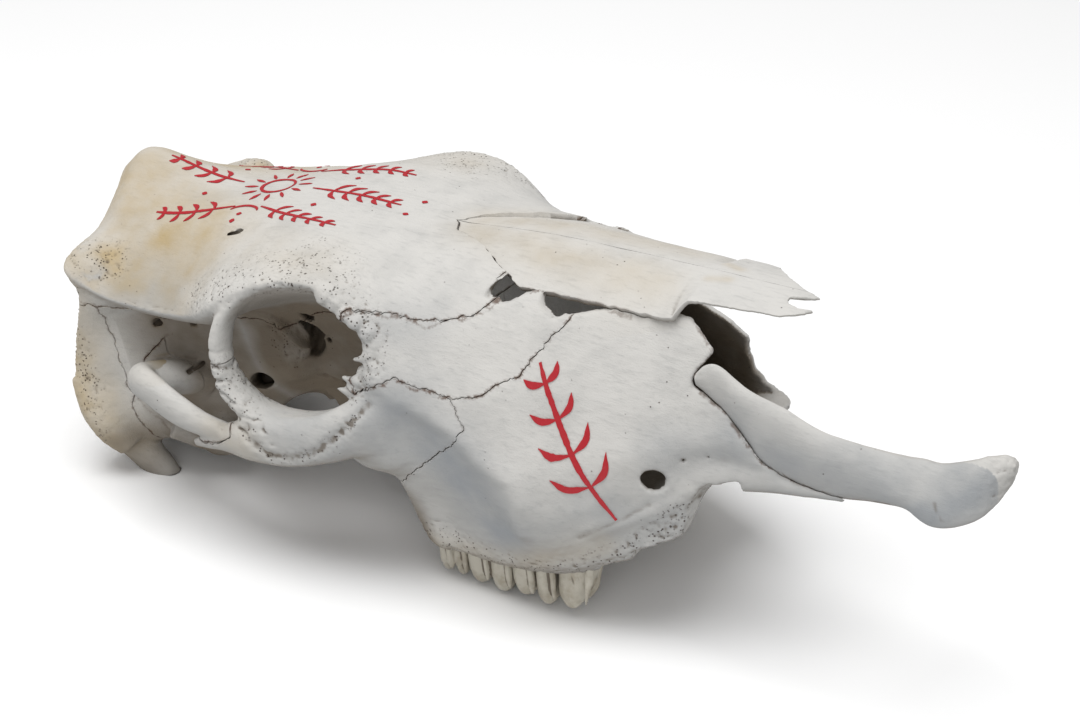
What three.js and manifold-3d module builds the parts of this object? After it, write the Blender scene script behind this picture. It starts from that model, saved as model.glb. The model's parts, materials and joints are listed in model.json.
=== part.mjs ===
// Cow skull, cranium without the lower jaw, life size, in millimetres.
// The bones are modelled in the skull's own frame: x runs forward to the muzzle, y to the
// animal's left, z up. The whole is then pitched nose up, as a skull lies on its cheek teeth
// and its paracondylar processes, and set on the floor with its origin under its middle.
import * as THREE from 'three';
import { mergeVertices } from 'three/addons/utils/BufferGeometryUtils.js';
import Module from 'manifold-3d';

const wasm = await Module();
wasm.setup();

// Driving dimensions
const REST_PITCH = THREE.MathUtils.degToRad(16.3); // nose-up tilt of the resting skull
const FLOOR_LEVEL = 53.5; // height of the floor in the pitched frame
const SUTURE = 0.3; // open line between two neighbouring bones
const SHELL = 4.2; // thickness of the facial bones
const NASAL_THICKNESS = 3.2;
const ARCH_WIDTH = 33; // half width over which the nasal arch comes down
const AROUND = 2; // mesh steps between two lines of a section
const ALONG = 2; // mesh steps between two sections

const ORBIT = { x: 173.5, z: 125.3, halfLength: 37, halfHeight: 31 };
const FORAMEN_MAGNUM = { z: 84, halfWidth: 19, halfHeight: 15, depth: 34 };
const INFRAORBITAL = { x: 332, w: 57, z: 50, diameter: 11 };
// The cheek teeth from the last molar forward to the last premolar
const CHEEK_TEETH = [
  { back: 200, length: 17.2, width: 19, tip: -4.8, columns: 2, lean: 0.18 },
  { back: 217.4, length: 25.4, width: 21, tip: -11, columns: 2, lean: 0.18 },
  { back: 243, length: 24.8, width: 21, tip: -15.7, columns: 2, lean: 0.18 },
  { back: 268, length: 21.5, width: 19, tip: -19, columns: 1, lean: 0.4 },
];
const TOOTH_ROW = 52; // half width of the skull at the middle of the tooth row
const TOOTH_TOP = 30; // how high the roots reach
const CUSP = 4; // depth of the wear between two columns
const OUTER_RISE = 1.8; // how much shorter the outer columns are than the inner ones
// The lower front tip of each maxilla: [x, w, z, half thickness, half height]
const MAXILLA_TIP = { right: [413, 37, 35.5, 2, 2], left: [352, 37, 41, 2, 2] };
const FAR_SIDE = 130; // half width of a cut that takes in the whole skull
const HIDDEN_DEPTH = 5; // a lacrimal bone's depth over the filled face

const bone = (tint) => new THREE.MeshStandardMaterial({ color: tint, roughness: 0.85, metalness: 0 });

// Solid helpers

/** A closed solid from vertices and triangles, turned outwards whichever way it was wound. */
function solid(points, triangles) {
  let volume = 0;
  for (const [a, b, c] of triangles) volume += points[a].dot(points[b].clone().cross(points[c]));
  const wound = volume < 0 ? triangles.map(([a, b, c]) => [a, c, b]) : triangles;
  return new wasm.Manifold(new wasm.Mesh({
    numProp: 3,
    vertProperties: Float32Array.from(points.flatMap((p) => [p.x, p.y, p.z])),
    triVerts: Uint32Array.from(wound.flat()),
  }));
}

/** The two triangles of a four-sided face. */
const quad = (a, b, c, d) => [[a, b, c], [a, c, d]];

/** Skins a row of closed rings with equal counts and closes both ends on their middle points. */
function skin(rings) {
  const n = rings[0].length;
  const points = rings.flat();
  const triangles = sleeve(rings.length, n);
  for (const i of [0, rings.length - 1]) {
    const middle = new THREE.Vector3();
    rings[i].forEach((p) => middle.addScaledVector(p, 1 / n));
    points.push(middle);
    for (let j = 0; j < n; j++) {
      const pair = [i * n + j, i * n + ((j + 1) % n)];
      if (i === 0) pair.reverse();
      triangles.push([...pair, points.length - 1]);
    }
  }
  return solid(points, triangles);
}

/** The side faces between rings of n points each. */
function sleeve(count, n) {
  const triangles = [];
  for (let i = 0; i + 1 < count; i++) {
    for (let j = 0; j < n; j++) {
      const k = (j + 1) % n;
      triangles.push(...quad(i * n + j, i * n + k, (i + 1) * n + k, (i + 1) * n + j));
    }
  }
  return triangles;
}

/** A thin sheet: each row holds the points over it and then the same number under it, backwards. */
function sheet(rows) {
  const n = rows[0].length;
  const triangles = sleeve(rows.length, n);
  for (let j = 0; j + 1 < n / 2; j++) {
    const end = (rows.length - 1) * n;
    triangles.push(...quad(j, n - 1 - j, n - 2 - j, j + 1));
    triangles.push(...quad(end + j, end + j + 1, end + n - 2 - j, end + n - 1 - j));
  }
  return solid(rows.flat(), triangles);
}

/** Any closed three.js geometry as a solid. */
function fromGeometry(geometry) {
  const bare = geometry.clone();
  for (const name of ['normal', 'uv']) bare.deleteAttribute(name);
  const merged = mergeVertices(bare, 1e-4);
  const place = merged.getAttribute('position');
  const point = (i) => new THREE.Vector3().fromBufferAttribute(place, i);
  const points = Array.from({ length: place.count }, (_, i) => point(i));
  const index = Array.from(merged.index.array);
  const triangles = [];
  for (let i = 0; i < index.length; i += 3) triangles.push(index.slice(i, i + 3));
  return solid(points, triangles.filter(([a, b, c]) => a !== b && b !== c && c !== a));
}

/** An egg shape by its middle and its three half sizes. */
function egg(x, y, z, rx, ry, rz, around = 16) {
  return fromGeometry(new THREE.SphereGeometry(1, around, around / 2).scale(rx, ry, rz).translate(x, y, z));
}

/** A side-view outline [x, z] carried across the skull from y0 to y1. */
function sidePrism(outline, y0, y1) {
  const shape = new THREE.Shape(outline.map(([x, z]) => new THREE.Vector2(x, z)));
  const geometry = new THREE.ExtrudeGeometry(shape, { depth: y1 - y0, bevelEnabled: false });
  return fromGeometry(geometry.rotateX(Math.PI / 2).translate(0, y1, 0));
}

/** The outline moved outwards by d, each corner along the mean of its two sides' normals. */
function grown(outline, d) {
  const shape = THREE.ShapeUtils.area(outline.map(([x, z]) => new THREE.Vector2(x, z))) > 0 ? 1 : -1;
  return outline.map(([x, z], i) => {
    const [ax, az] = outline.at(i - 1);
    const [bx, bz] = outline[(i + 1) % outline.length];
    const before = new THREE.Vector2(z - az, ax - x).normalize();
    const after = new THREE.Vector2(bz - z, x - bx).normalize();
    const out = before.clone().add(after).normalize();
    const reach = (shape * d) / Math.max(out.dot(before), 0.5);
    return [x + out.x * reach, z + out.y * reach];
  });
}

/** Ellipses carried along a smooth path. Stations are [x, y, z, thickness, height] half sizes. */
function bar(stations, around = 12, steps = 3) {
  const middles = stations.map(([x, y, z]) => new THREE.Vector3(x, y, z));
  const path = new THREE.CatmullRomCurve3(middles, false, 'centripetal');
  const last = stations.length - 1;
  const rings = [];
  for (let k = 0; k <= last * steps; k++) {
    const t = k / (last * steps);
    const i = Math.min(Math.floor(t * last), last - 1);
    const thick = THREE.MathUtils.lerp(stations[i][3], stations[i + 1][3], t * last - i);
    const tall = THREE.MathUtils.lerp(stations[i][4], stations[i + 1][4], t * last - i);
    const along = path.getTangent(t);
    const flat = along.clone().cross(new THREE.Vector3(0, 0, 1)).normalize();
    const up = flat.clone().cross(along);
    const middle = path.getPoint(t);
    rings.push(Array.from({ length: around }, (_, j) => {
      const a = (2 * Math.PI * j) / around;
      return middle.clone()
        .addScaledVector(flat, Math.cos(a) * thick)
        .addScaledVector(up, Math.sin(a) * tall);
    }));
  }
  return skin(rings);
}

const join = (...parts) => wasm.Manifold.union(parts.flat());
const side = (sign, x, w, z) => [x, sign * w, z];
const bothSides = (make) => [make(-1), make(1)];

// The body: sections across the skull, each half a ring of eleven points from the top middle to
// the bottom middle. In the cranium they run over the forehead, round the ledge that roofs the
// temple and the orbit, down the wall of the braincase and under it. In the face the same
// points run down the cheek to the tooth row and up to the palate.
const LINES = ['crown', 'dome', 'shoulder', 'edge', 'under', 'roof', 'wall', 'foot', 'heel', 'base', 'floor'];
const SECTIONS = [
  { x: 14, crown: [0, 196], dome: [20, 187, 5], shoulder: [38, 176, 6], edge: [68, 168, 8],
    under: [74, 153, 15], roof: [76, 128, 4], wall: [77, 104, -5], foot: [76, 80, -6],
    heel: [62, 66, 0], base: [40, 62, -4], floor: [0, 60, -10] },
  { x: 30, crown: [0, 203], dome: [20, 192], shoulder: [40, 178], edge: [77, 167], under: [73, 152, 6],
    roof: [73, 130, -4], wall: [74, 106, -8], foot: [76, 84, -8], heel: [62, 66, -6], base: [36, 60, -6],
    floor: [0, 58, -10] },
  { x: 46, crown: [0, 198], dome: [22, 186], shoulder: [42, 176], edge: [76, 154], under: [70, 146],
    roof: [64, 138], wall: [63, 112], foot: [63, 88], heel: [54, 66], base: [30, 60], floor: [0, 58] },
  { x: 76, crown: [0, 184.5], dome: [22, 181], shoulder: [44, 172], edge: [74, 144], under: [68, 137],
    roof: [55, 135], wall: [51, 112], foot: [47, 88], heel: [38, 70], base: [22, 61], floor: [0, 59] },
  { x: 106, crown: [0, 178.5], dome: [22, 177], shoulder: [44, 171], edge: [80, 143], under: [74, 136],
    roof: [54, 133], wall: [47, 112], foot: [42, 90], heel: [33, 79], base: [20, 67], floor: [0, 64] },
  { x: 130, crown: [0, 176], dome: [23, 175], shoulder: [46, 171], edge: [90, 150], under: [84, 141],
    roof: [54, 134], wall: [43, 113], foot: [38, 94], heel: [29, 82], base: [18, 71], floor: [0, 68] },
  { x: 158, crown: [0, 171.5], dome: [24, 171], shoulder: [50, 169], edge: [87, 160], under: [82, 153],
    roof: [56, 138], wall: [42, 115], foot: [38, 95], heel: [30, 81], base: [18, 71], floor: [0, 69] },
  { x: 184, crown: [0, 165], dome: [24, 164.5], shoulder: [50, 163], edge: [81, 158.5], under: [76, 151],
    roof: [58, 138], wall: [48, 116], foot: [43, 94], heel: [36, 76], base: [20, 68], floor: [0, 66] },
  { x: 201, crown: [0, 160.5], dome: [22, 160], shoulder: [48, 158], edge: [76, 151], under: [69, 141],
    roof: [60, 126], wall: [56, 108], foot: [56, 80], heel: [50, 50], base: [26, 55], floor: [0, 56] },
  { x: 212, crown: [0, 157], dome: [20, 156.5], shoulder: [45, 153.5], edge: [72, 143], under: [77, 131],
    roof: [82, 110, -4], wall: [81, 82, -8], foot: [71, 50, -10], heel: [63, 17, -8], base: [44, 20, -8],
    floor: [0, 30, -8] },
  { x: 224, crown: [0, 154], dome: [18, 153.5], shoulder: [41, 150], edge: [64, 138.5], under: [73, 125],
    roof: [80, 106], wall: [80, 80], foot: [71, 44], heel: [63, 12], base: [43, 15], floor: [0, 28] },
  { x: 246, crown: [0, 150.5], dome: [16, 150], shoulder: [35, 146], edge: [54, 133.5], under: [67, 116],
    roof: [76, 94], wall: [80, 70], foot: [75, 40], heel: [63, 6], base: [42, 9], floor: [0, 27] },
  { x: 272, crown: [0, 146], dome: [15, 145.5], shoulder: [31, 141], edge: [47, 131], under: [60, 112],
    roof: [71, 84], wall: [79, 56], foot: [78, 32], heel: [61, 3], base: [41, 7], floor: [0, 27] },
  { x: 302, crown: [0, 139], dome: [14, 138], shoulder: [28, 133], edge: [39, 123], under: [49, 104],
    roof: [59, 78], wall: [66, 54], foot: [66, 32], heel: [57, 9], base: [38, 13], floor: [0, 29] },
  { x: 332, crown: [0, 131.5], dome: [13, 130.5], shoulder: [25, 126], edge: [34, 115], under: [43, 97],
    roof: [51, 76], wall: [56, 57], foot: [55, 38], heel: [48, 20], base: [34, 24], floor: [0, 34] },
  { x: 350, crown: [0, 127], dome: [12, 126], shoulder: [22, 121.5], edge: [30, 110], under: [38, 93],
    roof: [44, 75], wall: [47, 58], foot: [46, 50], heel: [41, 43], base: [28, 42], floor: [0, 43] },
  { x: 384, crown: [0, 118], dome: [10, 117], shoulder: [18, 113], edge: [25, 101], under: [32, 85],
    roof: [37, 68], wall: [40, 54], foot: [39, 45], heel: [35, 40], base: [26, 40], floor: [0, 41] },
];

/** One section's closed ring, moved inwards by inset along the section's own normals. */
function ring(section, inset = 0) {
  const half = LINES.map((line) => {
    const [w, z, forward = 0] = section[line];
    return new THREE.Vector3(section.x + forward, -w, z);
  });
  const mirrored = half.slice(1, -1).reverse().map((p) => p.clone().multiply(new THREE.Vector3(1, -1, 1)));
  const full = [...half, ...mirrored];
  return full.map((p, i) => {
    const run = full[(i + 1) % full.length].clone().sub(full.at(i - 1));
    const inward = new THREE.Vector3(0, -run.z, run.y).normalize();
    return p.clone().addScaledVector(inward, inset);
  });
}

/** The whole body as one solid, or its lining at a depth under the surface. */
function body(inset = 0) {
  const coarse = SECTIONS.map((section) => ring(section, inset));
  const around = coarse.map((points) => {
    const curve = new THREE.CatmullRomCurve3(points, true, 'centripetal');
    const steps = points.length * AROUND;
    return Array.from({ length: steps }, (_, j) => curve.getPoint(j / steps));
  });
  const lane = (j) => new THREE.CatmullRomCurve3(around.map((row) => row[j]), false, 'centripetal');
  const lanes = around[0].map((_, j) => lane(j));
  const count = (SECTIONS.length - 1) * ALONG;
  return skin(Array.from({ length: count + 1 }, (_, i) => lanes.map((curve) => curve.getPoint(i / count))));
}

// The orbit: a ring of bone round each eye socket, widest behind and below
function orbitRim(sign) {
  const steps = 30;
  const around = 8;
  const rings = Array.from({ length: steps }, (_, i) => {
    const a = (2 * Math.PI * i) / steps;
    const out = new THREE.Vector3(Math.cos(a), 0, Math.sin(a));
    const low = Math.max(0, -Math.sin(a));
    const rear = Math.max(0, -Math.cos(a));
    const rim = 2.2 + 3 * low + 2.6 * rear;
    const middle = new THREE.Vector3(
      ORBIT.x + (ORBIT.halfLength + rim) * Math.cos(a) - 3 * low * rear,
      0,
      ORBIT.z + (ORBIT.halfHeight + rim) * Math.sin(a) - 2 * low * rear,
    );
    const deep = 4.5 + 4 * low + 2.5 * rear;
    middle.y = sign * (87.5 - 9.5 * Math.cos(a) - 4.5 * Math.sin(a) - deep);
    return Array.from({ length: around }, (_, j) => {
      const b = (2 * Math.PI * j) / around;
      return new THREE.Vector3(0, deep * Math.sin(b), 0)
        .add(middle)
        .addScaledVector(out, rim * Math.cos(b));
    });
  });
  const points = rings.flat();
  const triangles = [];
  for (let i = 0; i < steps; i++) {
    for (let j = 0; j < around; j++) {
      const [p, q] = [i * around, ((i + 1) % steps) * around];
      const k = (j + 1) % around;
      triangles.push([p + j, p + k, q + k], [p + j, q + k, q + j]);
    }
  }
  return solid(points, triangles);
}

// Cheek bones, arches and the processes under the skull
const cheekBone = (s) => join(
  bar([
    [...side(s, 100, 90, 81), 2.5, 3], [...side(s, 118, 93, 84), 4, 6], [...side(s, 136, 95, 85), 5, 11],
    [...side(s, 158, 93, 83), 5.5, 12.5], [...side(s, 182, 89, 84), 6, 12], [...side(s, 204, 81, 88), 7, 13],
    [...side(s, 228, 70, 88), 7, 13],
  ], 10, 2),
  egg(...side(s, 198, 74, 72), 22, 14, 16, 14),
);

const arch = (s) => bar([
  [...side(s, 66, 46, 96), 16, 10], [...side(s, 62, 64, 103), 13, 9], [...side(s, 62, 79, 108), 8, 9],
  [...side(s, 74, 88, 109), 6, 10], [...side(s, 90, 91.5, 100), 4.5, 9.5], [...side(s, 106, 93, 93), 4, 7],
  [...side(s, 122, 95, 91), 3, 3.5],
], 10, 2);

const hornKnob = (s) => egg(...side(s, 35, 66, 163), 12, 9.5, 9, 12);
const mastoid = (s) => bar([
  [...side(s, 11, 74, 108), 5, 4], [...side(s, 14, 73, 95), 8, 8], [...side(s, 18, 71, 80), 10, 10],
  [...side(s, 23, 67, 66), 7, 7],
], 8, 2);
const paracondylar = (s) => bar([
  [...side(s, 14, 60, 78), 9, 12], [...side(s, 20, 59, 62), 8, 10], [...side(s, 30, 57, 46), 6, 8],
  [...side(s, 34, 56, 40), 5, 5],
], 10, 2);
const bulla = (s) => join(
  egg(...side(s, 62, 42, 62), 15, 10, 13, 12),
  bar([[...side(s, 52, 62, 74), 6, 6], [...side(s, 62, 52, 62), 5, 5], [...side(s, 74, 42, 52), 3, 3]], 8, 2),
);
const condyle = (s) => join(
  egg(...side(s, 3, 24, 70), 14, 13, 15, 12),
  egg(...side(s, 7, 32, 84), 12, 10, 12, 10),
);
const hamulus = (s) => sidePrism([
  [130, 78], [206, 78], [206, 40], [190, 36], [170, 40], [158, 36], [148, 41], [143, 54], [134, 68],
], ...(s < 0 ? [-27, -22] : [22, 27]));

const maxillaFront = (s, [x, w, z, ...half]) => bar([
  [...side(s, 322, 50, 42), 6, 12], [...side(s, 346, 44, 48), 5, 9], [...side(s, 372, 39, 44), 4, 6],
  [...side(s, x, w, z), ...half],
], 8, 2);

/** A cheek tooth: upright columns side by side on one root, worn level with the floor it rests on. */
function tooth(s, { back, length, width, tip, columns, lean }) {
  const around = 20;
  const level = Math.tan(REST_PITCH);
  const levels = [
    { z: TOOTH_TOP, scale: 0.7, worn: 0 }, { z: 14, scale: 0.92, worn: 0 }, { z: 2, scale: 1, worn: 0 },
    { z: tip + 5, scale: 0.95, worn: 0.6 }, { z: tip, scale: 0.72, worn: 1 },
  ];
  return skin(levels.map(({ z, scale, worn }) => Array.from({ length: around }, (_, j) => {
    const a = (2 * Math.PI * j) / around;
    const groove = 0.5 + 0.5 * Math.cos(Math.PI * columns * (Math.cos(a) + 1));
    const along = (length / 2 - 0.4) * scale * Math.cos(a);
    const across = (width / 2) * (0.6 + 0.4 * scale) * (1 - 0.16 * groove) * Math.sin(a);
    return new THREE.Vector3(
      back + length / 2 + (z - 8) * lean + along,
      s * (TOOTH_ROW + across),
      z + worn * (CUSP * groove + OUTER_RISE * Math.max(0, Math.sin(a)) - along * level),
    );
  })));
}

// Nasal bones: two thin plates lying on the front of the face and reaching over the opening
const NASAL_PROFILE = new THREE.SplineCurve([
  [200, 160.7], [212, 157], [224, 154], [246, 150.5], [272, 146], [302, 139], [332, 131.5], [350, 127],
  [384, 118], [410, 111],
].map((p) => new THREE.Vector2(...p))).getPoints(90).map((p) => p.toArray());

/** The value at x on a line through pairs of [x, value], level beyond its ends. */
const ramp = (x, ...pairs) => {
  const i = Math.max(1, pairs.findIndex(([at]) => at >= x));
  const [[x0, v0], [x1, v1]] = x >= pairs.at(-1)[0] ? pairs.slice(-2) : [pairs[i - 1], pairs[i]];
  return THREE.MathUtils.lerp(v0, v1, THREE.MathUtils.clamp((x - x0) / (x1 - x0), 0, 1));
};

/** One nasal bone, or the room it takes with a margin round it and open space above. */
function nasal(s, margin = 0, above = 0) {
  const [nu, nv] = [20, 5];
  const edge = (i, n) => (i === 0 ? -margin : i === n ? margin : 0);
  const place = (i, j, lift) => {
    const v = j / nv;
    const rear = ramp(v, [0, 219], [0.25, 224], [0.5, 244], [0.75, 257], [1, 270]);
    const front = s < 0
      ? ramp(v, [0, 391], [0.15, 392], [0.35, 386], [0.85, 402], [1, 397])
      : ramp(v, [0, 391], [0.5, 380], [1, 369]);
    const x = THREE.MathUtils.lerp(rear, front, i / nu);
    const half = ramp(x, [219, 37], [272, 37], [300, 34.5], [345, 33], [352, 27], [392, 22], [403, 15]);
    const w = THREE.MathUtils.lerp(SUTURE / 2, half, v);
    const curl = ramp(x, [219, 6], [272, 8], [300, 10], [345, 11], [352, 3.5], [403, 3.5]);
    const bend = w / ARCH_WIDTH;
    const out = new THREE.Vector3(0, (s * 1.8 * curl * bend ** 0.8) / ARCH_WIDTH, 1).normalize();
    const height = ramp(x, ...NASAL_PROFILE) - curl * bend ** 1.8;
    return new THREE.Vector3(x + 2 * edge(i, nu), s * (w + edge(j, nv)), height)
      .addScaledVector(out, lift);
  };
  const row = (i, lift) => Array.from({ length: nv + 1 }, (_, j) => place(i, j, lift));
  return sheet(Array.from({ length: nu + 1 }, (_, i) => [
    ...row(i, above), ...row(i, -NASAL_THICKNESS - margin).reverse(),
  ]));
}

// Premaxilla: a bowed blade of bone that ends in a flat paddle. Its stations hold the middle
// [x, w, z], the half height, the half thickness and how far its lower edge leans outwards.
const PREMAXILLA = [
  [353, 35.5, 89, 3, 2, 0], [365, 36.5, 83, 10.5, 3, 0], [378, 37, 68, 17.5, 4, 0],
  [392, 36.5, 59.5, 18, 4.6, 0], [408, 36, 50.8, 15.5, 5, 0], [425, 34, 46, 12.5, 5.5, 1.2], [441, 33.5, 42.5, 10.5, 5.5, 3.5],
  [449, 33, 38, 12.8, 5, 4.7], [457, 32, 36, 12.5, 4.6, 5], [469, 27, 36.5, 11.8, 4.2, 4],
  [477, 22, 39.5, 9.5, 3.6, 2], [482, 18, 42, 5.5, 3, 0], [484, 17, 43, 2, 2, 0],
];
function premaxilla(s, margin = 0) {
  const around = 16;
  return skin(PREMAXILLA.map(([x, w, z, tall, thick, lean], i) => Array.from({ length: around }, (_, j) => {
    const a = (2 * Math.PI * j) / around;
    const up = Math.sin(a);
    const end = i ? 0 : -margin;
    return new THREE.Vector3(
      x + end,
      s * (w + (thick + margin) * Math.cos(a) - lean * up),
      z + (tall + margin) * up,
    );
  })));
}

// Outlines in side view, [x, z], that part one bone from the next
const FRONTAL_CUT = [
  [-30, 152], [24, 150], [48, 141], [66, 131], [120, 128], [128, 124], [146, 124], [160, 131], [194, 131],
  [206, 143], [216, 139], [236, 129.5], [255, 129], [266, 133], [262, 140], [274, 152], [274, 230],
  [-30, 230],
];
const LACRIMAL = [
  [196, 131], [206, 143], [216, 139], [236, 129.5], [255, 129], [266, 133], [285, 135], [294, 131],
  [306, 130], [298, 122], [288, 113], [278, 103], [259, 97], [248, 98], [230, 105], [223, 110], [207, 106], [200, 104],
];
const CHEEK_BONE = [
  [200, 104], [207, 106], [223, 110], [230, 105], [248, 98], [252, 84], [240, 74], [222, 66], [205, 56],
  [150, 55], [92, 72], [92, 86], [106, 82], [118, 83.5], [129, 88], [131, 94], [110, 112], [112, 124],
  [146, 124], [170, 118],
];
const TEMPORAL = [
  [36, 56], [36, 90], [48, 112], [62, 122], [92, 124], [112, 114], [131, 98], [129.7, 88], [118, 84.5],
  [106, 83], [92, 86.3], [88, 72], [78, 56],
];
const FONTANELLE = [[260, 138], [272, 147], [285, 136], [268, 131]];
const NASAL_GAP = [[292, 133], [292, 128.5], [322, 124], [323, 127]];
const RIGHT_OPENING = [
  [338, 119], [345, 117], [353, 106], [357, 98], [349, 91], [352.6, 87], [365, 73], [377, 51], [392, 41],
  [420, 33], [430, 33], [430, 150], [338, 150],
];
const LEFT_OPENING = [
  [305, 92], [317, 80], [326, 69], [321, 51], [335, 44], [350, 45], [372, 44], [430, 44], [430, 150],
  [338, 150], [337, 119], [324, 119], [314, 110],
];
const NOSE_ROOM = [[252, 150], [252, 36], [300, 36], [345, 44], [400, 44], [400, 150]];
const PALATE_END = [[340, 50], [340, 20], [420, 20], [420, 50]];
const OCCIPITAL = [[-60, 0], [-60, 152], [24, 150], [36, 146], [36, 100], [44, 80], [44, 0]];
const FACE = [[500, -40], [500, 200], [203, 200], [203, 60], [192, 60], [192, -40]];
const FACE_BACK = [[202.7, -40], [202.7, 200], [260, 200], [260, -40]];

/** The largest closed surface of a solid: loose scraps and sealed hollows go. */
function largest(shape) {
  return shape.decompose().reduce((best, piece) => (piece.volume() > best.volume() ? piece : best));
}

// Model the skull whole
const lining = body(SHELL);
const patchLining = body(HIDDEN_DEPTH);
const patchFloor = body(HIDDEN_DEPTH + SUTURE);
const across = (outline) => sidePrism(outline, -FAR_SIDE, FAR_SIDE);
let whole = body().subtract(lining.intersect(across(NOSE_ROOM)));
whole = join(
  whole, bothSides(orbitRim), bothSides(cheekBone), bothSides(arch), bothSides(hornKnob), bothSides(mastoid),
  bothSides(paracondylar), bothSides(bulla), bothSides(condyle), bothSides(hamulus),
  maxillaFront(-1, MAXILLA_TIP.right), maxillaFront(1, MAXILLA_TIP.left),
);
const spinalCanal = bar([
  [-30, 0, FORAMEN_MAGNUM.z - 3, FORAMEN_MAGNUM.halfWidth + 3, FORAMEN_MAGNUM.halfHeight + 2],
  [FORAMEN_MAGNUM.depth, 0, FORAMEN_MAGNUM.z, FORAMEN_MAGNUM.halfWidth, FORAMEN_MAGNUM.halfHeight],
], 20, 2);
const nerveHole = (s) => fromGeometry(
  new THREE.CylinderGeometry(INFRAORBITAL.diameter / 2, INFRAORBITAL.diameter / 2, 26, 14)
    .rotateZ(-s * 0.5)
    .translate(INFRAORBITAL.x, s * INFRAORBITAL.w, INFRAORBITAL.z),
);
whole = whole.subtract(join(
  spinalCanal, bothSides(nerveHole),
  sidePrism(FONTANELLE, -62, -34), sidePrism(FONTANELLE, 34, 62),
  sidePrism(NASAL_GAP, -52, -30), sidePrism(NASAL_GAP, 30, 52),
  sidePrism(RIGHT_OPENING, -90, SUTURE / 2), sidePrism(LEFT_OPENING, -SUTURE / 2, 90),
  sidePrism(PALATE_END, -32, 32),
));

// Part it into its bones, each with an open line of suture width round it
const bones = {};
let rest = whole;

/** Takes the bone inside a region out of the rest, and clears the line round it. */
function part(name, inside, cleared) {
  bones[name] = largest(rest.intersect(inside));
  rest = rest.subtract(cleared);
}

for (const [s, which] of [[-1, 'right'], [1, 'left']]) {
  rest = rest.subtract(nasal(s, SUTURE, 12));
  bones[`nasal_${which}`] = nasal(s);
  const reach = (near) => (s < 0 ? [-FAR_SIDE, -near] : [near, FAR_SIDE]);
  const outer = (outline, near, d = 0) => sidePrism(grown(outline, d), ...reach(near - d));
  part(`temporal_${which}`, outer(TEMPORAL, 57), outer(TEMPORAL, 57, SUTURE));
  part(`zygomatic_${which}`, outer(CHEEK_BONE, 63), outer(CHEEK_BONE, 63, SUTURE));
  part(
    `lacrimal_${which}`,
    outer(LACRIMAL, 36).subtract(patchLining),
    outer(LACRIMAL, 36, SUTURE).subtract(patchFloor),
  );
}
part('frontal', across(FRONTAL_CUT), across(grown(FRONTAL_CUT, SUTURE)));
part('occipital', across(OCCIPITAL), across(grown(OCCIPITAL, SUTURE)));

for (const [s, which] of [[-1, 'right'], [1, 'left']]) {
  const half = s < 0 ? [-FAR_SIDE, -SUTURE / 2] : [SUTURE / 2, FAR_SIDE];
  part(`maxilla_${which}`, sidePrism(FACE, ...half), sidePrism(grown(FACE, SUTURE), ...half));
  bones[`maxilla_${which}`] = join(bones[`maxilla_${which}`], CHEEK_TEETH.map((t) => tooth(s, t)));
}
bones.maxilla_right = largest(bones.maxilla_right.subtract(premaxilla(-1, SUTURE)));
bones.premaxilla_right = premaxilla(-1);
bones.braincase = largest(rest.subtract(across(FACE_BACK)));

// Small flats where the skull touches the floor
const below = fromGeometry(new THREE.BoxGeometry(900, 400, 100)
  .translate(0, 0, FLOOR_LEVEL - 50).rotateY(REST_PITCH));

const TINTS = {
  frontal: 0xe4dfd3, braincase: 0xcdc8bf, occipital: 0xd9d2c4, temporal: 0xdad7cf, zygomatic: 0xdedcd5,
  lacrimal: 0xdddbd5, maxilla: 0xdcdad5, nasal: 0xe3e1dc, premaxilla: 0xd7d6d3,
};

const skull = new THREE.Group();
for (const [name, shape] of Object.entries(bones)) {
  const { numProp, vertProperties, triVerts } = largest(shape.subtract(below)).getMesh();
  const points = new Float32Array((vertProperties.length / numProp) * 3);
  for (let i = 0; i < points.length / 3; i++) {
    points.set(vertProperties.subarray(i * numProp, i * numProp + 3), i * 3);
  }
  const geometry = new THREE.BufferGeometry();
  geometry.setAttribute('position', new THREE.BufferAttribute(points, 3));
  geometry.setIndex(new THREE.BufferAttribute(new Uint32Array(triVerts), 1));
  const mesh = new THREE.Mesh(geometry, bone(TINTS[name.split('_')[0]]));
  mesh.name = name;
  skull.add(mesh);
}
skull.rotation.y = -REST_PITCH;

// The origin lies under the middle of the skull, on the floor
const model = new THREE.Group();
model.add(skull);
model.updateMatrixWorld(true);
const reach = new THREE.Box3().setFromObject(model, true);
const middle = reach.getCenter(new THREE.Vector3());
skull.position.set(-middle.x, -middle.y, -reach.min.z);
model.updateMatrixWorld(true);

export default model;
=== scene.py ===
"""Cow skull without its lower jaw: the weathered bones, the cheek teeth and the painted figures.

The bones are worked out in the skull's own frame, in millimetres: x runs forward to the muzzle,
y to the animal's left and z up. Finished pieces stand in the room's frame, in metres, where the
skull is pitched nose up as it rests on its teeth and on the processes beside its neck joint.
"""

import json
import logging
import math
from dataclasses import dataclass, field
from enum import Enum
from typing import Sequence

import bpy
import numpy as np
import openvdb
from mathutils import Matrix, Vector

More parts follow.
